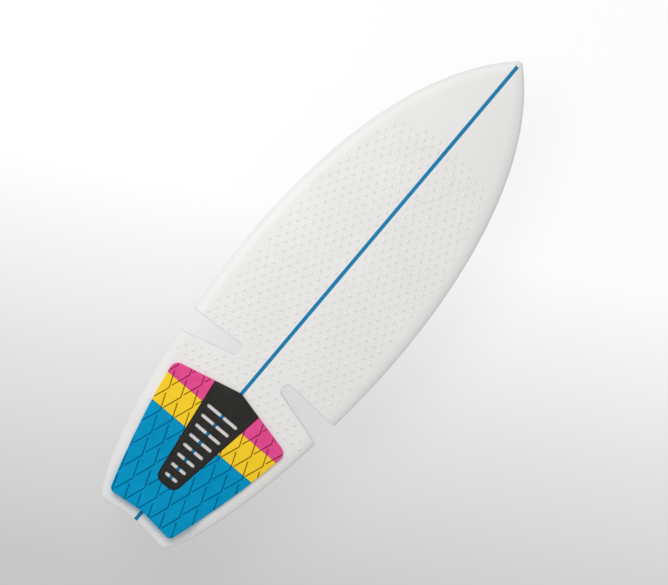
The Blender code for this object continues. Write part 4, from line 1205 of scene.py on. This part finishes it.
corner_x, corner_y = PAD_HALF[-2]
CENTRE_FRONT_X = PAD_APEX_X + (corner_x - PAD_APEX_X) * CENTRE_FRONT_HALF / corner_y
CENTRE_LEAN = math.atan2(CENTRE_FRONT_HALF - CENTRE_TAIL_HALF, CENTRE_FRONT_X - CENTRE_TAIL_X)


def centre_half(x):
    """Half of the centre piece's width at a place along it."""
    return CENTRE_TAIL_HALF + (x - CENTRE_TAIL_X) * math.tan(CENTRE_LEAN)


def centre_outline(grow=0.0, steps=8):
    """The black centre piece, which runs past the pad's front edge and is trimmed by it."""
    tail_x = CENTRE_TAIL_X - grow
    tail_half = CENTRE_TAIL_HALF + grow / math.cos(CENTRE_LEAN) - grow * math.tan(CENTRE_LEAN)
    front_x = PAD_APEX_X + BEYOND
    front_half = tail_half + (front_x - tail_x) * math.tan(CENTRE_LEAN)
    shield = [(tail_x, -tail_half), (front_x, -front_half), (front_x, front_half), (tail_x, tail_half)]
    return rounded(shield, [CENTRE_TAIL_ROUND + grow, 0, 0, CENTRE_TAIL_ROUND + grow], steps)


def pad_slot_outline(x, steps=6):
    """One slot of the centre piece, with round ends."""
    half, long = PAD_SLOT_WIDTH / 2, centre_half(x) - PAD_SLOT_MARGIN
    box = [(x - half, -long), (x + half, -long), (x + half, long), (x - half, long)]
    return rounded(box, [half * 0.98] * 4, steps)


# %% [markdown]
# ### Rounded edges and the kick
#
# The pad's upper edge is rounded before the grooves are cut, while every edge of it is still clean. The
# kick is a smooth step: only the upper part of the foam rises, grooves and all, so that the pad gets
# thicker towards the tail.

# %% Edge and kick
PAD_EDGE, KICK_CUTS, NEAR = 0.0012, 14, 1e-6
KICK_PLACES = [KICK_START_X - KICK_RUN * i / KICK_CUTS for i in range(KICK_CUTS + 1)]


def edged(obj, height, width, segments=3):
    """Rounds the edges that lie at one height round the outside."""
    with editing(obj, "EDGE"):
        pick(obj, "edges", lambda edge: all(abs(vert.co.z - height) < NEAR for vert in edge.verts))
        bpy.ops.mesh.bevel(offset=width, segments=segments, affect="EDGES")
    return obj


def kicked(obj):
    """Raises the pad's top into the kick, and then the whole piece with the rocker."""
    bisected(obj, sorted(KICK_PLACES + TAIL_PLACES))
    points = corners(obj)
    share = np.clip((KICK_START_X - points[:, 0]) / KICK_RUN, 0, 1)
    upper = np.clip((points[:, 2] - PAD_LOW) / (CENTRE_HIGH - PAD_LOW), 0, 1)
    points[:, 2] += KICK_HEIGHT * share**2 * (3 - 2 * share) * upper
    return rockered(put(obj, points))


# %% [markdown]
# ### Chevron grooves
#
# The grooves are soft V-shaped cuts in rows that are staggered from column to column. One chevron is
# lofted from outlines with two arms. The lowest one is the narrowest and shortest, so that the groove's
# walls slope and its ends run out. Array modifiers repeat it, and one Boolean cuts all of them into a
# band.

# %% Groove cutter
GROOVE_ROWS = ((-0.0015, 0.0002, 0.96), (0.0001, 0.0009, 1.06), (0.0020, 0.0009, 1.06))
CHEVRON_ARMS, CHEVRON_PEAK = ((-0.0262, 0.0096), (0.0232, 0.0092)), 1.07
CHEVRON_PITCH_X, CHEVRON_PITCH_Y = 0.0327, 0.0218
CHEVRON_FIRST = (-0.4107, 0.0519)
CHEVRON_COLUMNS, CHEVRON_ROWS_UP, CHEVRON_ROWS = 8, 3, 14


def chevron(name):
    """One chevron-shaped cutter with sloping walls."""
    left, right = (Vector(arm) for arm in CHEVRON_ARMS)
    rows = []
    for height, half, stretch in GROOVE_ROWS:
        over_left = Vector((left.y, -left.x)).normalized() * half
        over_right = Vector((-right.y, right.x)).normalized() * half
        vertex = Vector((0, half * CHEVRON_PEAK))
        upper = [right * stretch + over_right, vertex, left * stretch + over_left]
        lower = [left * stretch - over_left, -vertex, right * stretch - over_right]
        rows.append([(*point, PAD_HIGH + height) for point in upper + lower])
    return lofted(name, rows)


def grooves():
    """All the chevrons of the pad as one cutter."""
    sets = []
    for parity in (0, 1):
        x = CHEVRON_FIRST[0] + parity * CHEVRON_PITCH_X
        y = CHEVRON_FIRST[1] + (CHEVRON_ROWS_UP - parity / 2) * CHEVRON_PITCH_Y
        cutter = moved(chevron(f"chevron_{parity}"), Matrix.Translation((x, y, 0)))
        repeated(cutter, CHEVRON_COLUMNS // 2, (2 * CHEVRON_PITCH_X, 0, 0))
        sets.append(repeated(cutter, CHEVRON_ROWS, (0, -CHEVRON_PITCH_Y, 0)))
    return joined("grooves", sets)


GROOVES = grooves()

# %% Foam bands
SEAM = GAP / 2


def pad_band(name, from_x, to_x, finishes, slot, side=0):
    """One foam band, on one side of the centre piece or on both."""
    band = edged(plate(name.replace("pad", "foam"), pad_outline(), PAD_LOW, PAD_HIGH), PAD_HIGH, PAD_EDGE)
    low_y, high_y = (0 if side > 0 else -WIDTH), (0 if side < 0 else WIDTH)
    carved(band, block("share", (from_x, low_y, DECK_BOTTOM), (to_x, high_y, DECK_TOP + BEYOND)), "INTERSECT")
    carved(band, plate("centre_room", centre_outline(GAP), DECK_BOTTOM, DECK_TOP + BEYOND))
    band.data.materials.append(finishes[0])
    # The grooves' faces take the darker foam, painted shade for the shadow inside them.
    carved(band, duplicated(GROOVES, "groove_tool"), finish=finishes[1])
    kicked(band)
    placed(band, None, slot, "rear_deck", name)
    print(name, len(band.data.polygons), "faces,", len(band.data.materials), "finishes")
    return band


BLUE, YELLOW, PINK = (PAD_BLUE, GROOVE_SHADE_BLUE), (PAD_YELLOW, GROOVE_SHADE_YELLOW), (PAD_PINK, GROOVE_SHADE_PINK)
pad_band("pad_blue", TAIL_X, BLUE_END_X - SEAM, BLUE, "pad_blue")
for side, way in (("left", 1), ("right", -1)):
    pad_band("pad_yellow_" + side, BLUE_END_X + SEAM, YELLOW_END_X - SEAM, YELLOW, "pad_yellow", way)
    pad_band("pad_pink_" + side, YELLOW_END_X + SEAM, PAD_APEX_X + BEYOND, PINK, "pad_pink", way)
bpy.data.objects.remove(GROOVES)

# %% [markdown]
# ### Centre piece
#
# The black centre piece is a tapered shield with eight slots, and the white deck and the stripe show
# through them. It is thinner than the foam beside it, so light reaches the bottom of the slots, and its
# edges are crisper.

# %% Centre piece
SLOT_EDGE_ROUND = 0.0005
centre = plate("rubber_centre", centre_outline(), PAD_LOW, CENTRE_HIGH)
trim = plate("pad_shape", pad_outline(), DECK_BOTTOM, DECK_TOP + BEYOND)
carved(centre, trim, "INTERSECT")
for i in range(PAD_SLOTS):
    x = PAD_SLOT_FIRST_X + i * PAD_SLOT_PITCH
    carved(centre, plate("pad_slot", pad_slot_outline(x), DECK_BOTTOM, DECK_TOP + BEYOND))
edged(centre, CENTRE_HIGH, SLOT_EDGE_ROUND, 2)
kicked(centre)
placed(centre, PAD_BLACK, "pad_black", "rear_deck", "pad_centre")

# %% [markdown]
# ## The casters
#
# Both casters are alike, so each piece is modelled once, for the front one. It is made upright round Z,
# where lathe work is simple, and a matrix then lays it in its place: either in the swivel's frame, whose
# Z leans forward along the swivel axis, or in the axle's frame, whose Z points to the board's left. The
# rear caster gets a copy.

# %% Frames of a caster
LEAN, TRAIL, AXLE_DROP = math.radians(30), 0.027, 0.0550965
FACE_Z, SETBACK = 0.072215, 0.0085
FRONT_X = TRUCKS["front"]
SWIVEL = Matrix.Translation((FRONT_X - SETBACK, 0, FACE_Z)) @ Matrix.Rotation(LEAN, 4, "Y")
LYING = Matrix.Rotation(math.radians(-90), 4, "X")
AXLE = SWIVEL @ Matrix.Translation((-TRAIL, 0, -AXLE_DROP)) @ Matrix.Rotation(-LEAN, 4, "Y") @ LYING
FLIP = Matrix.Rotation(math.pi, 4, "X")
STANDING = Matrix.Rotation(math.radians(90), 4, "X")
TO_REAR = Matrix.Translation((TRUCKS["rear"] - FRONT_X, 0, 0))


def fitted(piece, where, finish, slot, body, *nodes):
    """Puts a finished piece in its place on the front caster, and a copy of it on the rear one."""
    kind = piece.name
    moved(piece, where)
    twin = duplicated(piece, "rear_" + kind, TO_REAR)
    piece.name = piece.data.name = "front_" + kind
    for end, obj in (("front", piece), ("rear", twin)):
        placed(obj, finish, slot, f"{end}_{body}", *[f"{end}_{solid}" for solid in nodes])


def eased(profile, radius, steps=3, sharp=()):
    """A profile with a small round in each corner, apart from the ones that stay sharp."""
    return rounded(profile, [0 if i in sharp else radius for i in range(len(profile))], steps)


def washer(name, inner, outer, low, high, round_by=0.0002, sides=32):
    """A flat ring with broken edges."""
    section = [(inner, low), (outer, low), (outer, high), (inner, high)]
    return turned(name, eased(section, round_by, 2), sides)


# %% [markdown]
# ### Wedge
#
# The wedge carries the swivel at its angle. A round flange lies under the deck's boss, and an inclined
# barrel grows out of it with a moulded fillet. The barrel is lofted from rings: the first ones lie in the
# leaning face, the others in level planes up to the flange. Three gussets brace it, as moulded parts need
# where the load is high.

# %% Wedge
FLANGE_LOW, FLANGE_HIGH, FLANGE_RADIUS = 0.088215, 0.092215, 0.0385
BARREL_RADIUS, BARREL_FLARE, BARREL_FILLET, BARREL_EDGE = 0.023, 0.0022, 0.0025, 0.0010
BARREL_LENGTH, EDGE_TURNS = 0.0365, (0, 0.52, 1.05, 1.57)
NUT_SEAT, NUT_POCKET, PIN_HOLE = 0.010, 0.0095, 0.0043


def barrel_ring(height=None, steps=64):
    """A ring of the barrel in a level plane, or in its own leaning face."""
    points = []
    for i in range(steps):
        turn = 2 * math.pi * i / steps
        flare = BARREL_FLARE / BARREL_LENGTH
        along = 0
        if height is not None:
            side = math.cos(turn) * math.sin(LEAN)
            along = (height - FACE_Z + BARREL_RADIUS * side) / (math.cos(LEAN) - flare * side)
        radius = BARREL_RADIUS + flare * along
        points.append(SWIVEL @ Vector((radius * math.cos(turn), radius * math.sin(turn), along)))
    return points


def leaning_ring(shrink, along):
    """A ring near the barrel's leaning face, drawn in by its rounded edge."""
    ring = barrel_ring()
    middle = SWIVEL @ HERE
    up = (SWIVEL.to_3x3() @ Vector((0, 0, 1))) * along
    return [middle + (point - middle) * (1 - shrink / BARREL_RADIUS) + up for point in ring]


rows = []
for t in EDGE_TURNS:
    rows.append(leaning_ring(BARREL_EDGE * (1 - math.sin(t)), BARREL_EDGE * (1 - math.cos(t))))
for t in np.linspace(0, math.pi / 2, 6):
    height = FLANGE_LOW - BARREL_FILLET * (1 - math.sin(t))
    level = [tuple(point)[:2] for point in barrel_ring(height)]
    rows.append(row_of(level, -BARREL_FILLET * (1 - math.cos(t)), height))
rows.append(row_of(level, -BARREL_FILLET, FLANGE_LOW + MM))
barrel = lofted("barrel", rows)
print("barrel:", len(barrel.data.polygons), "faces")

# %% Flange, gussets and holes
GUSSET_HALF, GUSSET_SINK, GUSSET_EDGE, FLANGE_TURN = 0.0015, 0.00007, 0.0006, 2.5
flange = [(0, FLANGE_LOW), (FLANGE_RADIUS, FLANGE_LOW), (FLANGE_RADIUS, FLANGE_HIGH), (0, FLANGE_HIGH)]
wedge = turned("moulded_wedge", eased(flange, MM, 3, sharp=(0, 3)), 72)
# Turned by half a facet so that no edge of the flange lies level with a gusset's edge.
moved(wedge, Matrix.Translation((FRONT_X, 0, 0)) @ Matrix.Rotation(math.radians(FLANGE_TURN), 4, "Z"))
carved(wedge, barrel, "UNION")
front_gusset = [(0.006, 0.0895), (0.034, 0.0895), (0.034, 0.0862), (0.0165, 0.0685), (0.006, 0.0685)]
side_gusset = [(0.012, 0.0895), (0.034, 0.0895), (0.034, 0.0862), (0.0235, 0.0765), (0.012, 0.0765)]
for turn, outline in ((0, front_gusset), (90, side_gusset), (-90, side_gusset)):
    gusset = softened(plate("gusset", outline, -GUSSET_HALF, GUSSET_HALF), GUSSET_EDGE, 1, 30)
    spot = Matrix.Translation((FRONT_X, 0, GUSSET_SINK)) @ Matrix.Rotation(math.radians(turn), 4, "Z")
    carved(wedge, moved(gusset, spot @ STANDING), "UNION")
carved(wedge, moved(rod("pin_hole", PIN_HOLE, -BEYOND, BEYOND, 32), SWIVEL))
carved(wedge, moved(rod("nut_pocket", NUT_POCKET, NUT_SEAT, BEYOND + MM, 40), SWIVEL))
for spot in screw_places(FRONT_X):
    carved(wedge, rod("screw_hole", SCREW_RADIUS + GAP, DECK_BOTTOM - BEYOND, DECK_TOP, 24, centre=spot))
print("wedge:", len(wedge.data.polygons), "faces")
fitted(wedge, Matrix(), WEDGE_NYLON, "wedge_nylon", "deck", "wedge")

# %% [markdown]
# ### Screws, bolts and nuts
#
# Four pan-head screws with a hexagon socket hold the wedge. The swivel turns on a kingpin and the wheel
# on an axle, both hexagon bolts. A bolt head or nut is a hexagon that is intersected with a turned,
# chamfered shape, which leaves the curved corners of a real one.

# %% Screws
HEAD_RADIUS, HEAD_DEEP, HEAD_CROWN = 0.0042, 0.003, 0.0018
SOCKET_RADIUS, SOCKET_DEEP = 0.0018, 0.0016
screw_tip = BOSS_BOTTOM + SCREW_BITE - FLANGE_LOW + GAP
turns = np.linspace(0, 1.57, 7)
pan = [(HEAD_RADIUS * math.sin(t) ** 0.7, -HEAD_DEEP + HEAD_CROWN * (1 - math.cos(t))) for t in turns]
shank = [(HEAD_RADIUS, 0), (SCREW_RADIUS, 0), (SCREW_RADIUS, screw_tip - MM)]
shank += [(SCREW_RADIUS - 0.0008, screw_tip), (0, screw_tip)]
screw = turned("pan_head_screw", pan + shank, 32)
carved(screw, rod("socket", SOCKET_RADIUS, -BEYOND, SOCKET_DEEP - HEAD_DEEP, 6))
places = [Matrix.Translation((*spot, FLANGE_LOW - GAP)) for spot in screw_places(FRONT_X)]
for number, place_here in enumerate(places, start=1):
    one = duplicated(screw, f"wedge_screw_piece_{number}")
    fitted(one, place_here, BOLT_STEEL, "bolt_steel", "deck", f"wedge_screw_{number}")
bpy.data.objects.remove(screw)

# %% Hexagons and threads
CORNER_RADIUS, CHAMFER_SHARE = 0.0075, 0.96
THREAD_PITCH, THREAD_DEEP, TIP_CHAMFER = 0.00125, 0.00035, 0.0006


def hexagon(name, low, high, chamfers=(1, 1), bore=0.0):
    """A bolt head, or a nut if it has a bore, chamfered at its low and its high end where wanted."""
    flat = CORNER_RADIUS * math.cos(math.radians(30)) * CHAMFER_SHARE
    fall = (CORNER_RADIUS - flat) * math.tan(math.radians(30))
    wide = CORNER_RADIUS + MM / 10
    profile = [(0, low), *([(flat, low)] if chamfers[0] else []), (wide, low + fall * chamfers[0])]
    profile += [(wide, high - fall * chamfers[1]), *([(flat, high)] if chamfers[1] else []), (0, high)]
    shape = rod(name, CORNER_RADIUS, low - MM, high + MM, 6)
    carved(shape, turned("chamfers", profile, 48), "INTERSECT")
    if bore:
        carved(shape, rod("bore", bore, low - MM, high + MM, 32))
    return shape


def threaded(name, radius, low, high, thread_from):
    """A shank whose last part is threaded, drawn as rings, which look the same from outside."""
    profile = [(0, low), (radius, low)]
    for i in range(int((high - thread_from) / THREAD_PITCH)):
        z = thread_from + i * THREAD_PITCH
        profile += [(radius, z), (radius, z + THREAD_PITCH * 0.3)]
        profile.append((radius - THREAD_DEEP, z + THREAD_PITCH * 0.65))
    profile += [(radius, high - TIP_CHAMFER), (radius - TIP_CHAMFER, high), (0, high)]
    return turned(name, profile, 32)


# %% Kingpin
CROWN_TOP, CROWN_LOW, WASHER_TOP, PIN_WASHER = -0.0088, -0.0138, -0.0141, 0.0012
PIN_HEAD_HIGH, PIN_HEAD_LOW, NUT_LOW, NUT_HIGH = -0.0156, -0.0196, 0.0103, 0.0168
PIN_RADIUS, PIN_WASHER_RADIUS = 0.004, 0.0085
kingpin = carved(
    hexagon("kingpin_bolt", PIN_HEAD_LOW, PIN_HEAD_HIGH, (1, 0)),
    threaded("shank", PIN_RADIUS, PIN_HEAD_HIGH - 0.002, NUT_HIGH + 0.0015, NUT_LOW - 0.004),
    "UNION",
)
fitted(kingpin, SWIVEL, BOLT_STEEL, "bolt_steel", "deck", "kingpin")
pin_washer = washer(
    "kingpin_flat_washer", PIN_HOLE, PIN_WASHER_RADIUS, WASHER_TOP - PIN_WASHER, WASHER_TOP
)
fitted(pin_washer, SWIVEL, BOLT_STEEL, "bolt_steel", "deck", "kingpin_washer")
pin_nut = hexagon("kingpin_hex_nut", NUT_LOW, NUT_HIGH, (1, 1), PIN_HOLE)
fitted(pin_nut, SWIVEL, BOLT_STEEL, "bolt_steel", "deck", "kingpin_nut")

# %% [markdown]
# ### Swivel bearing
#
# Ten steel balls run in a cage between two pressed races. The upper race is a cup whose skirt keeps dirt
# out, and the balls can be seen in the gap under it.

# %% Races and balls
RACE_RADIUS, RACE_BORE, RACE_LIP = 0.020, 0.006, 0.0012
UPPER_RACE_TOP, UPPER_RACE_UNDER, SKIRT_LOW = -0.0003, -0.0021, -0.0041
LOWER_RACE_TOP, LOWER_RACE_UNDER = -0.0067, -0.0085
BALL_RADIUS, BALL_PITCH, BALL_Z, BALLS = 0.002, 0.0124, -0.0044, 10
lip_radius = RACE_RADIUS - RACE_LIP
cup = [(RACE_RADIUS, UPPER_RACE_TOP), (RACE_RADIUS, SKIRT_LOW), (lip_radius, SKIRT_LOW)]
cup += [(lip_radius, UPPER_RACE_UNDER), (RACE_BORE, UPPER_RACE_UNDER), (RACE_BORE, UPPER_RACE_TOP)]
cup = rounded(cup, [0.0012, 0.0005, 0.0005, 0.0006, 0.0002, 0.0002], 4)
fitted(turned("upper_race_cup", cup, 64), SWIVEL, BEARING_STEEL, "bearing_steel", "deck", "upper_race")
lower = washer("lower_race_plate", RACE_BORE, RACE_RADIUS, LOWER_RACE_UNDER, LOWER_RACE_TOP, 0.0005, 64)
fitted(lower, SWIVEL, BEARING_STEEL, "bearing_steel", "swivel_fork", "lower_race")


def all_round(piece, count):
    """A piece and its copies, evenly spaced round Z."""
    turns = [Matrix.Rotation(2 * math.pi * i / count, 4, "Z") for i in range(1, count)]
    return [piece] + [duplicated(piece, piece.name, turn) for turn in turns]


CAGE_HALF, CAGE_THICK = 0.0015, 0.0012
middle = (BALL_PITCH, 0, BALL_Z)
bpy.ops.object.select_all(action="DESELECT")
bpy.ops.mesh.primitive_uv_sphere_add(segments=16, ring_count=10, radius=BALL_RADIUS, location=middle)
balls = all_round(moved(named("ball"), Matrix()), BALLS)
low, high = BALL_Z - CAGE_THICK / 2, BALL_Z + CAGE_THICK / 2
cage = washer("cage", BALL_PITCH - CAGE_HALF, BALL_PITCH + CAGE_HALF, low, high, 0.0002, 48)
balls = joined("swivel_balls_in_cage", balls + [cage])
fitted(balls, SWIVEL, BEARING_STEEL, "bearing_steel", "swivel_cage", "ball_ring")

# %% [markdown]
# ### Fork
#
# The fork is pressed and welded from 3 and 5 mm steel: a round crown with eased edges and two legs that
# taper to the eye round the axle. A leg's outline is two tangents to the eye's circle. The shallow bead
# pressed into it stiffens the sheet, and a short weld joins it to the crown.

# %% Fork
CROWN_RADIUS, LEG_INNER, LEG_OUTER = 0.022, 0.015, 0.018
LEG_TOP_HALF, EYE_RADIUS, AXLE_HOLE, LEG_EDGE = 0.013, 0.011, 0.004, 0.0007
BEAD_PROUD, BEAD_BACK, BEAD_ROUND, BEAD_EDGE, WELD_HALF = 0.0009, 0.0005, 0.0034, 0.0008, 0.0108
WELD_WAY = Matrix(((0, 0, 1, 0), (1, 0, 0, 0), (0, 1, 0, 0), (0, 0, 0, 1)))


def leg_outline(steps=20):
    """The leg seen from the side, with the swivel axis upright."""
    eye = Vector((-TRAIL, -AXLE_DROP))
    angles = []
    for x, way in ((LEG_TOP_HALF, 1), (-LEG_TOP_HALF, -1)):
        reach = Vector((x, CROWN_TOP - GAP)) - eye
        angles.append(math.atan2(reach.y, reach.x) - way * math.acos(EYE_RADIUS / reach.length))
    start, end = angles[0], angles[1] - 2 * math.pi
    round_eye = along_arc(tuple(eye), EYE_RADIUS, end, start, steps)
    return [(LEG_TOP_HALF, CROWN_TOP - GAP), (-LEG_TOP_HALF, CROWN_TOP - GAP), *round_eye]


crown = [(0, CROWN_LOW), (CROWN_RADIUS, CROWN_LOW), (CROWN_RADIUS, CROWN_TOP), (0, CROWN_TOP)]
fork = turned("pressed_fork", rounded(crown, [0, 0.0012, 0.0018, 0], 4), 72)
bead = [(-0.0035, -0.0215), (-0.0205, -0.0430), (-0.0148, -0.0475), (0.0022, -0.0260)]
weld = [(-MM, MM), (-MM, -0.0024), (0.0001, -0.0022), (0.0014, -0.0012), (0.0024, 0.0001), (0.0024, MM)]
weld = [(LEG_OUTER + out, CROWN_LOW + up) for out, up in weld]
leg = softened(plate("leg", leg_outline(), -LEG_OUTER, -LEG_INNER), LEG_EDGE, 3, 40)
bead_face = -LEG_OUTER - BEAD_PROUD
pressed = plate("bead", rounded(bead, [BEAD_ROUND] * 4, 5), bead_face, -LEG_OUTER + BEAD_BACK)
edged(pressed, bead_face, BEAD_EDGE, 3)
carved(leg, pressed, "UNION")
moved(leg, STANDING)
carved(leg, moved(plate("weld", weld, -WELD_HALF, WELD_HALF), WELD_WAY), "UNION")
other_leg = turned_over(duplicated(leg, "other_leg"))
for side_leg in (leg, other_leg):
    carved(fork, side_leg, "UNION")
carved(fork, rod("pin_hole", PIN_HOLE, -BEYOND, 0, 32))
axle_place = Matrix.Translation((-TRAIL, 0, -AXLE_DROP)) @ LYING
carved(fork, moved(rod("axle_hole", AXLE_HOLE, -BEYOND, BEYOND, 32), axle_place))
print("fork:", len(fork.data.polygons), "faces")
fitted(fork, SWIVEL, FORK_STEEL, "fork_steel", "swivel_fork", "fork")

# %% [markdown]
# ### Axle
#
# The axle is a bolt with its head on the left and a lock nut on the right. The lock nut's round collar
# holds a nylon ring that grips the thread.

# %% Axle, lock nut and washers
AXLE_HEAD_LOW, AXLE_HEAD_HIGH, AXLE_SHANK = 0.0183, 0.0223, 0.0037
axle = carved(
    hexagon("axle_bolt", AXLE_HEAD_LOW, AXLE_HEAD_HIGH, (0, 1)),
    moved(threaded("shank", AXLE_SHANK, -AXLE_HEAD_LOW - 0.002, 0.0263, 0.0145), FLIP),
    "UNION",
)
fitted(axle, AXLE, BOLT_STEEL, "bolt_steel", "swivel_fork", "axle")
collar = [(AXLE_HOLE, -0.0229), (0.0058, -0.0229), (0.0062, -0.0235), (0.0060, -0.0245), (0.0054, -0.0248)]
collar += [(0.0052, -0.0243), (AXLE_HOLE, -0.0240)]
lock_nut = hexagon("axle_lock_nut", -0.0230, -0.0183, (1, 1), AXLE_HOLE)
carved(lock_nut, turned("collar", collar, 48), "UNION")
fitted(lock_nut, AXLE, BOLT_STEEL, "bolt_steel", "swivel_fork", "axle_nut")
insert = washer("lock_nut_insert", 0.0038, 0.0051, -0.0246, -0.0242)
fitted(insert, AXLE, CORE_NYLON, "wheel_core", "swivel_fork")
SIDES = (("left", Matrix()), ("right", FLIP))
for side, way in SIDES:
    flat = washer(f"{side}_axle_flat_washer", AXLE_HOLE, 0.0062, 0.0123, 0.0147)
    fitted(flat, AXLE @ way, BOLT_STEEL, "bolt_steel", "swivel_fork", f"{side}_axle_washer")

# %% [markdown]
# ### Wheel bearings
#
# These are sealed ball bearings of the common skate size, 22 mm across. From outside one sees the ground
# outer ring, a black rubber seal and the inner ring, each a little further in than the last.

# %% Bearings
BEARING_RADIUS, RACE_WALL, BEARING_LOW, BEARING_HIGH = 0.011, 0.0016, 0.005, 0.012
BEARING_SHAPE = (BEARING_LOW, BEARING_HIGH, 0.0003, 48)
lip = [(0.0060, 0.0111), (0.0060, 0.0116), (0.0066, 0.0117), (0.0070, 0.0114)]
lip += [(0.0086, 0.0114), (0.0090, 0.0117), (0.0095, 0.0117), (0.0095, 0.0111)]
for side, way in SIDES:
    outer = washer(f"{side}_bearing_outer", BEARING_RADIUS - RACE_WALL, BEARING_RADIUS, *BEARING_SHAPE)
    fitted(outer, AXLE @ way, BEARING_STEEL, "bearing_steel", "wheel", f"{side}_bearing_outer_ring")
    inner = washer(f"{side}_bearing_inner", AXLE_HOLE, AXLE_HOLE + RACE_WALL, *BEARING_SHAPE)
    fitted(inner, AXLE @ way, BEARING_STEEL, "bearing_steel", "swivel_fork", f"{side}_bearing_inner_ring")
    seal = turned(f"{side}_bearing_seal", lip, 48)
    fitted(seal, AXLE @ way, SEAL_RUBBER, "bearing_steel", "wheel")

# %% [markdown]
# ### Wheel
#
# The core is moulded with a hub round the bearings, a thin web and a rim, and ten ribs on both faces of
# the web carry the load from one to the other. The tyre is cast on it, with a flat tread, elliptical
# shoulders and a shallow groove in each wall, and a fine flash line is left round the middle of the
# tread.

# %% Core
CORE_RADIUS, RIM_INNER, HUB_RADIUS, BORE = 0.024, 0.020, 0.0143, 0.0113
HALF_RIM, HALF_WEB, HALF_HUB, SEAT, SHOULDER = 0.010, 0.005, 0.012, 0.0047, 0.0094
RIBS, RIB_HALF, RIB_REACH, RIB_EDGE = 10, 0.0009, 0.0088, 0.0006
lower_half = [(CORE_RADIUS, -HALF_RIM), (RIM_INNER, -HALF_RIM), (RIM_INNER, -HALF_WEB)]
lower_half += [(HUB_RADIUS, -HALF_WEB), (HUB_RADIUS, -HALF_HUB), (BORE, -HALF_HUB)]
lower_half += [(BORE, -SEAT), (SHOULDER, -SEAT)]
half_rounds = [0.0002, 0.0007, 0.0012, 0.0012, 0.0006, 0.0004, 0, 0.0003]
profile = lower_half + [(radius, -height) for radius, height in reversed(lower_half)]
core = turned("moulded_core", rounded(profile, half_rounds + half_rounds[::-1], 4), 72)
rib = block("rib", (HUB_RADIUS - MM, -RIB_HALF, -RIB_REACH), (RIM_INNER + MM, RIB_HALF, RIB_REACH))
softened(rib, RIB_EDGE, 2, 40)
carved(core, joined("ribs", all_round(rib, RIBS)), "UNION")
print("core:", len(core.data.polygons), "faces")
fitted(core, AXLE, CORE_NYLON, "wheel_core", "wheel", "wheel_core")

# %% Tyre
WHEEL_RADIUS, HALF_TREAD, HALF_TYRE, TREAD_ROUND, TYRE_SEAT = 0.03788, 0.005, 0.012, 0.006, 0.0243
FLASH = 0.00012
half_tyre = [(WHEEL_RADIUS, -0.0004)]
for t in np.linspace(0, math.pi / 2, 9):
    across = HALF_TREAD + (HALF_TYRE - HALF_TREAD) * math.sin(t)
    half_tyre.append((WHEEL_RADIUS - TREAD_ROUND * (1 - math.cos(t)), -across))
half_tyre += [(0.0312, -0.0120), (0.0308, -0.0117), (0.0302, -0.0115), (0.0296, -0.0117), (0.0292, -0.0120)]
half_tyre += [(0.0266, -0.0120), (0.0258, -0.0117), (TYRE_SEAT + 0.0002, -0.0102), (TYRE_SEAT, -0.0098)]
profile = [(radius, -height) for radius, height in reversed(half_tyre)]
profile += [(WHEEL_RADIUS + FLASH, 0)] + half_tyre
tyre = turned("cast_tyre", profile, 96)
print("tyre:", len(tyre.data.polygons), "faces")
fitted(tyre, AXLE, TYRE_URETHANE, "wheel_urethane", "wheel", "wheel_tyre")

# %% [markdown]
# ### Pieces that stay as they are
#
# The cages inside the wheel bearings and the spacer between them are closed in on all sides. Their solids
# have the right shape already, so they only get their finish.

# %% Finish for the hidden solids
for end in TRUCKS:
    for name, finish in (
        ("left_bearing_ball_ring", BEARING_STEEL),
        ("right_bearing_ball_ring", BEARING_STEEL),
        ("bearing_spacer", BOLT_STEEL),
    ):
        solid = frame["nodes"][f"{end}_{name}"]
        solid.data.materials.clear()
        solid.data.materials.append(finish)

# %% [markdown]
# ## Size
#
# The dressed model is meant to be as large as the solids, so the box round it is printed.

low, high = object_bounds()
print("dressed model from", tuple(low), "to", tuple(high))
